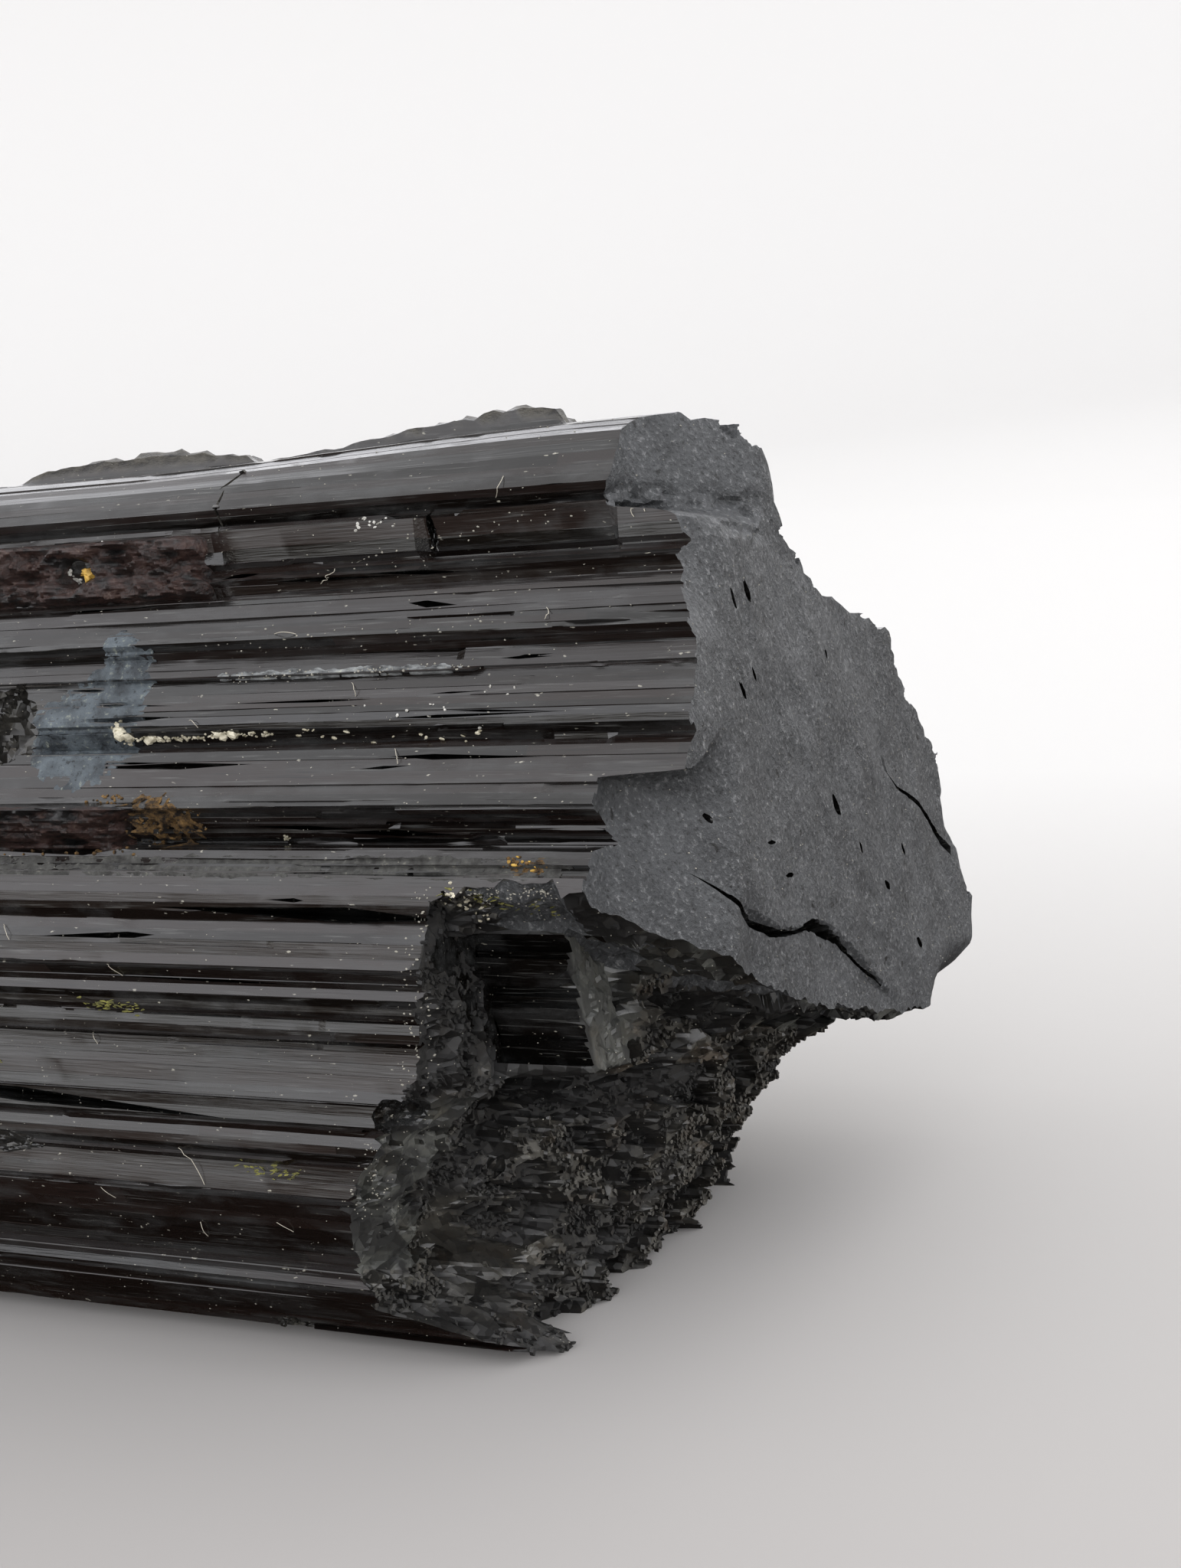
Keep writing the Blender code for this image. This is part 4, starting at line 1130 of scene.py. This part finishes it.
# Name, material, smallest and largest half sizes, and clusters: axial and up of both ends, how far the
# grains spread from the line between them, and how many there are
GRAINS = [
    ("cream_lumps", cream, (0.25, 0.2, 0.25), (0.55, 0.35, 0.5),
     [(-40.4, 4.0, -39.7, 3.3, 0.1, 7), (-38.3, 3.3, -37.5, 3.3, 0.2, 3), (-32.6, 3.4, -31.0, 3.4, 0.15, 4)]),
    ("cream_crumbs", cream, (0.06, 0.06, 0.05), (0.26, 0.16, 0.13),
     [(-40.4, 4.3, -39.7, 3.0, 0.2, 34), (-39.5, 3.2, -33.5, 3.3, 0.14, 60),
      (-33.5, 3.4, -28.4, 3.4, 0.16, 50), (-28.4, 3.4, -13.0, 3.2, 0.5, 16),
      (-14.6, -5.6, -14.0, -7.8, 0.35, 20), (-28.1, -3.2, -27.6, -3.0, 0.1, 6)]),
    ("yellow_lumps", yellow, (0.35, 0.5, 0.3), (0.55, 0.8, 0.45), [(-45.6, 14.5, -44.7, 14.5, 0.05, 6)]),
    ("yellow_crumbs", yellow, (0.05, 0.05, 0.05), (0.2, 0.15, 0.12),
     [(-10.4, -4.5, -8.8, -4.8, 0.35, 9), (-46.0, 14.0, -44.0, 14.2, 0.4, 14)]),
    ("white_crumbs", white, (0.05, 0.05, 0.05), (0.2, 0.15, 0.16),
     [(-46.7, 14.7, -46.5, 14.0, 0.12, 22), (-43.6, 16.4, -42.2, 15.6, 0.4, 14),
      (-39.0, 15.6, -36.4, 15.0, 0.5, 12), (-23.5, 16.2, -20.5, 16.4, 0.4, 16),
      (-22.0, 4.8, -9.0, 5.2, 1.2, 14)]),
    ("rust_crumbs", rust, (0.06, 0.06, 0.06), (0.2, 0.18, 0.16),
     [(-39.0, -1.8, -34.4, -2.2, 0.5, 90), (-10.8, -4.5, -8.2, -4.9, 0.4, 22),
      (-41.5, -0.8, -39.0, -0.4, 0.3, 20), (-50.0, -3.9, -38.0, -3.9, 0.25, 30)]),
    ("pale_crumbs", dust, (0.03, 0.03, 0.03), (0.13, 0.08, 0.08),
     [(-33.0, 7.0, -14.5, 7.3, 0.3, 90), (-14.0, -6.5, -8.0, -6.2, 0.5, 70),
      (-24.0, 13.9, -9.0, 16.6, 0.7, 26), (-15.8, -6.0, -17.2, -12.0, 0.5, 40),
      (-17.0, -12.0, -19.0, -18.0, 0.5, 50), (-22.0, -22.0, -25.0, -27.0, 0.5, 50),
      (-32.0, 9.4, -12.0, 9.8, 1.0, 30)]),
    ("green_smears", green_film, (0.1, 0.02, 0.03), (0.45, 0.06, 0.1),
     [(-42.5, -13.6, -38.0, -13.9, 0.4, 44), (-32.4, -24.2, -28.2, -24.4, 0.35, 40),
      (-52.0, -18.2, -50.8, -18.0, 0.3, 14), (-14.8, -6.4, -9.0, -7.3, 0.5, 40)]),
]

grain_rng = random.Random(12)


def to_frame(place):
    """A place in the crystal's own axes, in millimetres, as a place in the frame, in metres."""
    axial, out, up = place
    return 0.001 * (PLACE + Vector((axial, up * math.sin(LEAN) - out * math.cos(LEAN),
                                    up * math.cos(LEAN) + out * math.sin(LEAN))))


def grain_points(clusters):
    """Mesh with one point on the front for each grain."""
    points = bpy.data.meshes.new("grain_points")
    places = []
    for axial_a, up_a, axial_b, up_b, spread, count in clusters:
        for index in range(count):
            share = grain_rng.random()
            axial = axial_a + (axial_b - axial_a) * share + grain_rng.gauss(0.0, spread)
            up = up_a + (up_b - up_a) * share + grain_rng.gauss(0.0, 0.5 * spread)
            places.append(to_frame(front_place(axial, up)))
    points.from_pydata(places, [], [])
    return points


for name, material, smallest, largest, clusters in GRAINS:
    scatter(name, grain_points(clusters), scatter_tree(material, "lump"), smallest, largest, Seed=7,
            **LUMP_TURNS)

# Lint: a few pale cotton fibres, some hundredths of a millimetre thick, that cling to the front.
LINT_HALF_THICK = 0.000022
LINT_POINTS = 14
# Axial and up where each starts, its heading in degrees, its length and how much it bends
FIBRES = [(-35.6, -25.5, 100.0, 3.2, 0.9), (-37.8, -29.6, 70.0, 1.2, 0.7), (-38.8, -11.8, 105.0, 1.1, 0.8),
          (-13.6, 17.4, 20.0, 1.6, 1.6), (-3.6, 15.9, 80.0, 1.7, 4.2), (-27.0, 9.6, 160.0, 1.8, 0.6),
          (-22.5, 5.6, 60.0, 1.2, 2.0), (-47.0, -9.6, 95.0, 1.4, 1.2), (-30.5, -28.6, 120.0, 1.3, 1.0),
          (-9.5, 9.8, 30.0, 1.0, 2.5), (-19.0, 1.4, 75.0, 1.2, 1.4), (-44.0, -27.2, 110.0, 1.2, 0.9),
          (-26.0, 12.8, 10.0, 1.5, 1.1), (-34.0, 3.9, 80.0, 1.0, 2.2), (-42.5, -16.5, 85.0, 0.9, 1.0)]
curve = bpy.data.curves.new("lint", "CURVE")
curve.dimensions = "3D"
curve.bevel_depth = LINT_HALF_THICK
curve.bevel_resolution = 1
curve.use_fill_caps = True
for axial, up, heading, length, bend in FIBRES:
    spline = curve.splines.new("POLY")
    spline.points.add(LINT_POINTS - 1)
    angle = math.radians(heading)
    for index, point in enumerate(spline.points):
        place = front_place(axial, up)
        place.y += 0.05 + 0.25 * math.sin(math.pi * index / (LINT_POINTS - 1))
        point.co = (*to_frame(place), 1.0)
        angle += bend / LINT_POINTS
        axial += math.cos(angle) * length / LINT_POINTS
        up += math.sin(angle) * length / LINT_POINTS
threads = bpy.data.objects.new("lint_curve", curve)
scene.collection.objects.link(threads)
fibres = bpy.data.objects.new("lint_fibres", bpy.data.meshes.new_from_object(threads))
bpy.data.objects.remove(threads)
scene.collection.objects.link(fibres)

# Cotton: matt and off-white.
lint = new_material("cotton_lint")
set_inputs(shader_of(lint), Base_Color="#b9b3a4", Roughness=0.7)
fibres.data.materials.clear()
fibres.data.materials.append(lint)
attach(fibres, "root")

# The ground: a pale seamless sweep of paper, square to the camera. Its colour has painted shade, a little
# darker in front.
FLOOR_REACH = 1.2
bm = bmesh.new()
sweep = [(-FLOOR_REACH, 0.0)] + [(FLOOR_REACH * (0.5 + 0.5 * math.sin(math.radians(a))),
                                  FLOOR_REACH * 0.5 * (1.0 - math.cos(math.radians(a))))
                                 for a in range(0, 91, 6)] + [(FLOOR_REACH, 2.0 * FLOOR_REACH)]
for run, height in sweep:
    for side in (-2.0 * FLOOR_REACH, 2.0 * FLOOR_REACH):
        bm.verts.new((side, run, height))
bm.verts.ensure_lookup_table()
for index in range(len(sweep) - 1):
    first = 2 * index
    bm.faces.new((bm.verts[first], bm.verts[first + 1], bm.verts[first + 3], bm.verts[first + 2]))
ground = new_mesh_object("ground", bm)
ground.data.transform(Matrix.Rotation(math.radians(27.6), 4, "Z"))
ground.data.shade_smooth()
ground.visible_glossy = False

# Paper: matt and white, with painted shade that darkens it from back to front.
paper = new_material("matt_white_paper")
place = add_node(paper, "ShaderNodeTexCoord", output="Object")
painted_shade_falloff = add_node(paper, "ShaderNodeVectorMath", {"operation": "DOT_PRODUCT"}, "Value", _0=place,
                _1=(-0.06, 0.97, 0.0))
set_inputs(shader_of(paper), Base_Color=tinted(paper, "#9d9996", (painted_shade_falloff, -0.09, 0.13, "#cbcac8", 1.0)),
           Roughness=0.9)
ground.data.materials.append(paper)

# The light: a soft bright studio above the crystal and a dim warm room below it.
room = bpy.data.worlds.new("soft_studio")
scene.world = room
room.use_nodes = True
direction = add_node(room, "ShaderNodeTexCoord", output="Generated")
height = add_node(room, "ShaderNodeSeparateXYZ", output="Z", Vector=direction)
side = add_node(room, "ShaderNodeVectorMath", {"operation": "DOT_PRODUCT"}, "Value", _0=direction,
                _1=(0.75, 0.35, 0.0))
level = add_node(room, "ShaderNodeMapRange", Value=height, From_Min=-1.0)
shades = add_node(room, "ShaderNodeValToRGB", Fac=level)
ramp = shades.node.color_ramp
for position, colour, strength in ((0.0, "#5a4a44", 0.08), (0.3, "#6a5a50", 0.2), (0.45, "#a09588", 0.5),
                                   (0.5, "#f4f0ea", 1.0), (0.56, "#ffffff", 1.95), (0.7, "#fafaff", 2.6),
                                   (1.0, "#fafcff", 1.7)):
    element = ramp.elements.new(position)
    element.color = [channel * strength for channel in linear(colour)[:3]] + [1.0]
ramp.elements.remove(ramp.elements[0])
ramp.elements.remove(ramp.elements[-1])
brighter = add_node(room, "ShaderNodeMapRange", Value=side, From_Min=-1.0, To_Min=0.8, To_Max=1.2)
sky = add_node(room, "ShaderNodeVectorMath", {"operation": "SCALE"}, _0=shades, Scale=brighter)
set_inputs(room.node_tree.nodes["Background"], Color=sky)

# A large soft lamp behind and right of the crystal, so the ground falls off towards the lower left.
lamp_data = bpy.data.lights.new("soft_lamp", "AREA")
lamp_data.size = 0.5
lamp_data.energy = 0.7
lamp = bpy.data.objects.new("soft_lamp", lamp_data)
lamp.location = (0.107, 0.33, 0.45)
lamp.rotation_euler = (-lamp.location).to_track_quat("-Z", "Y").to_euler()
scene.collection.objects.link(lamp)
scene.view_settings.view_transform = "Standard"
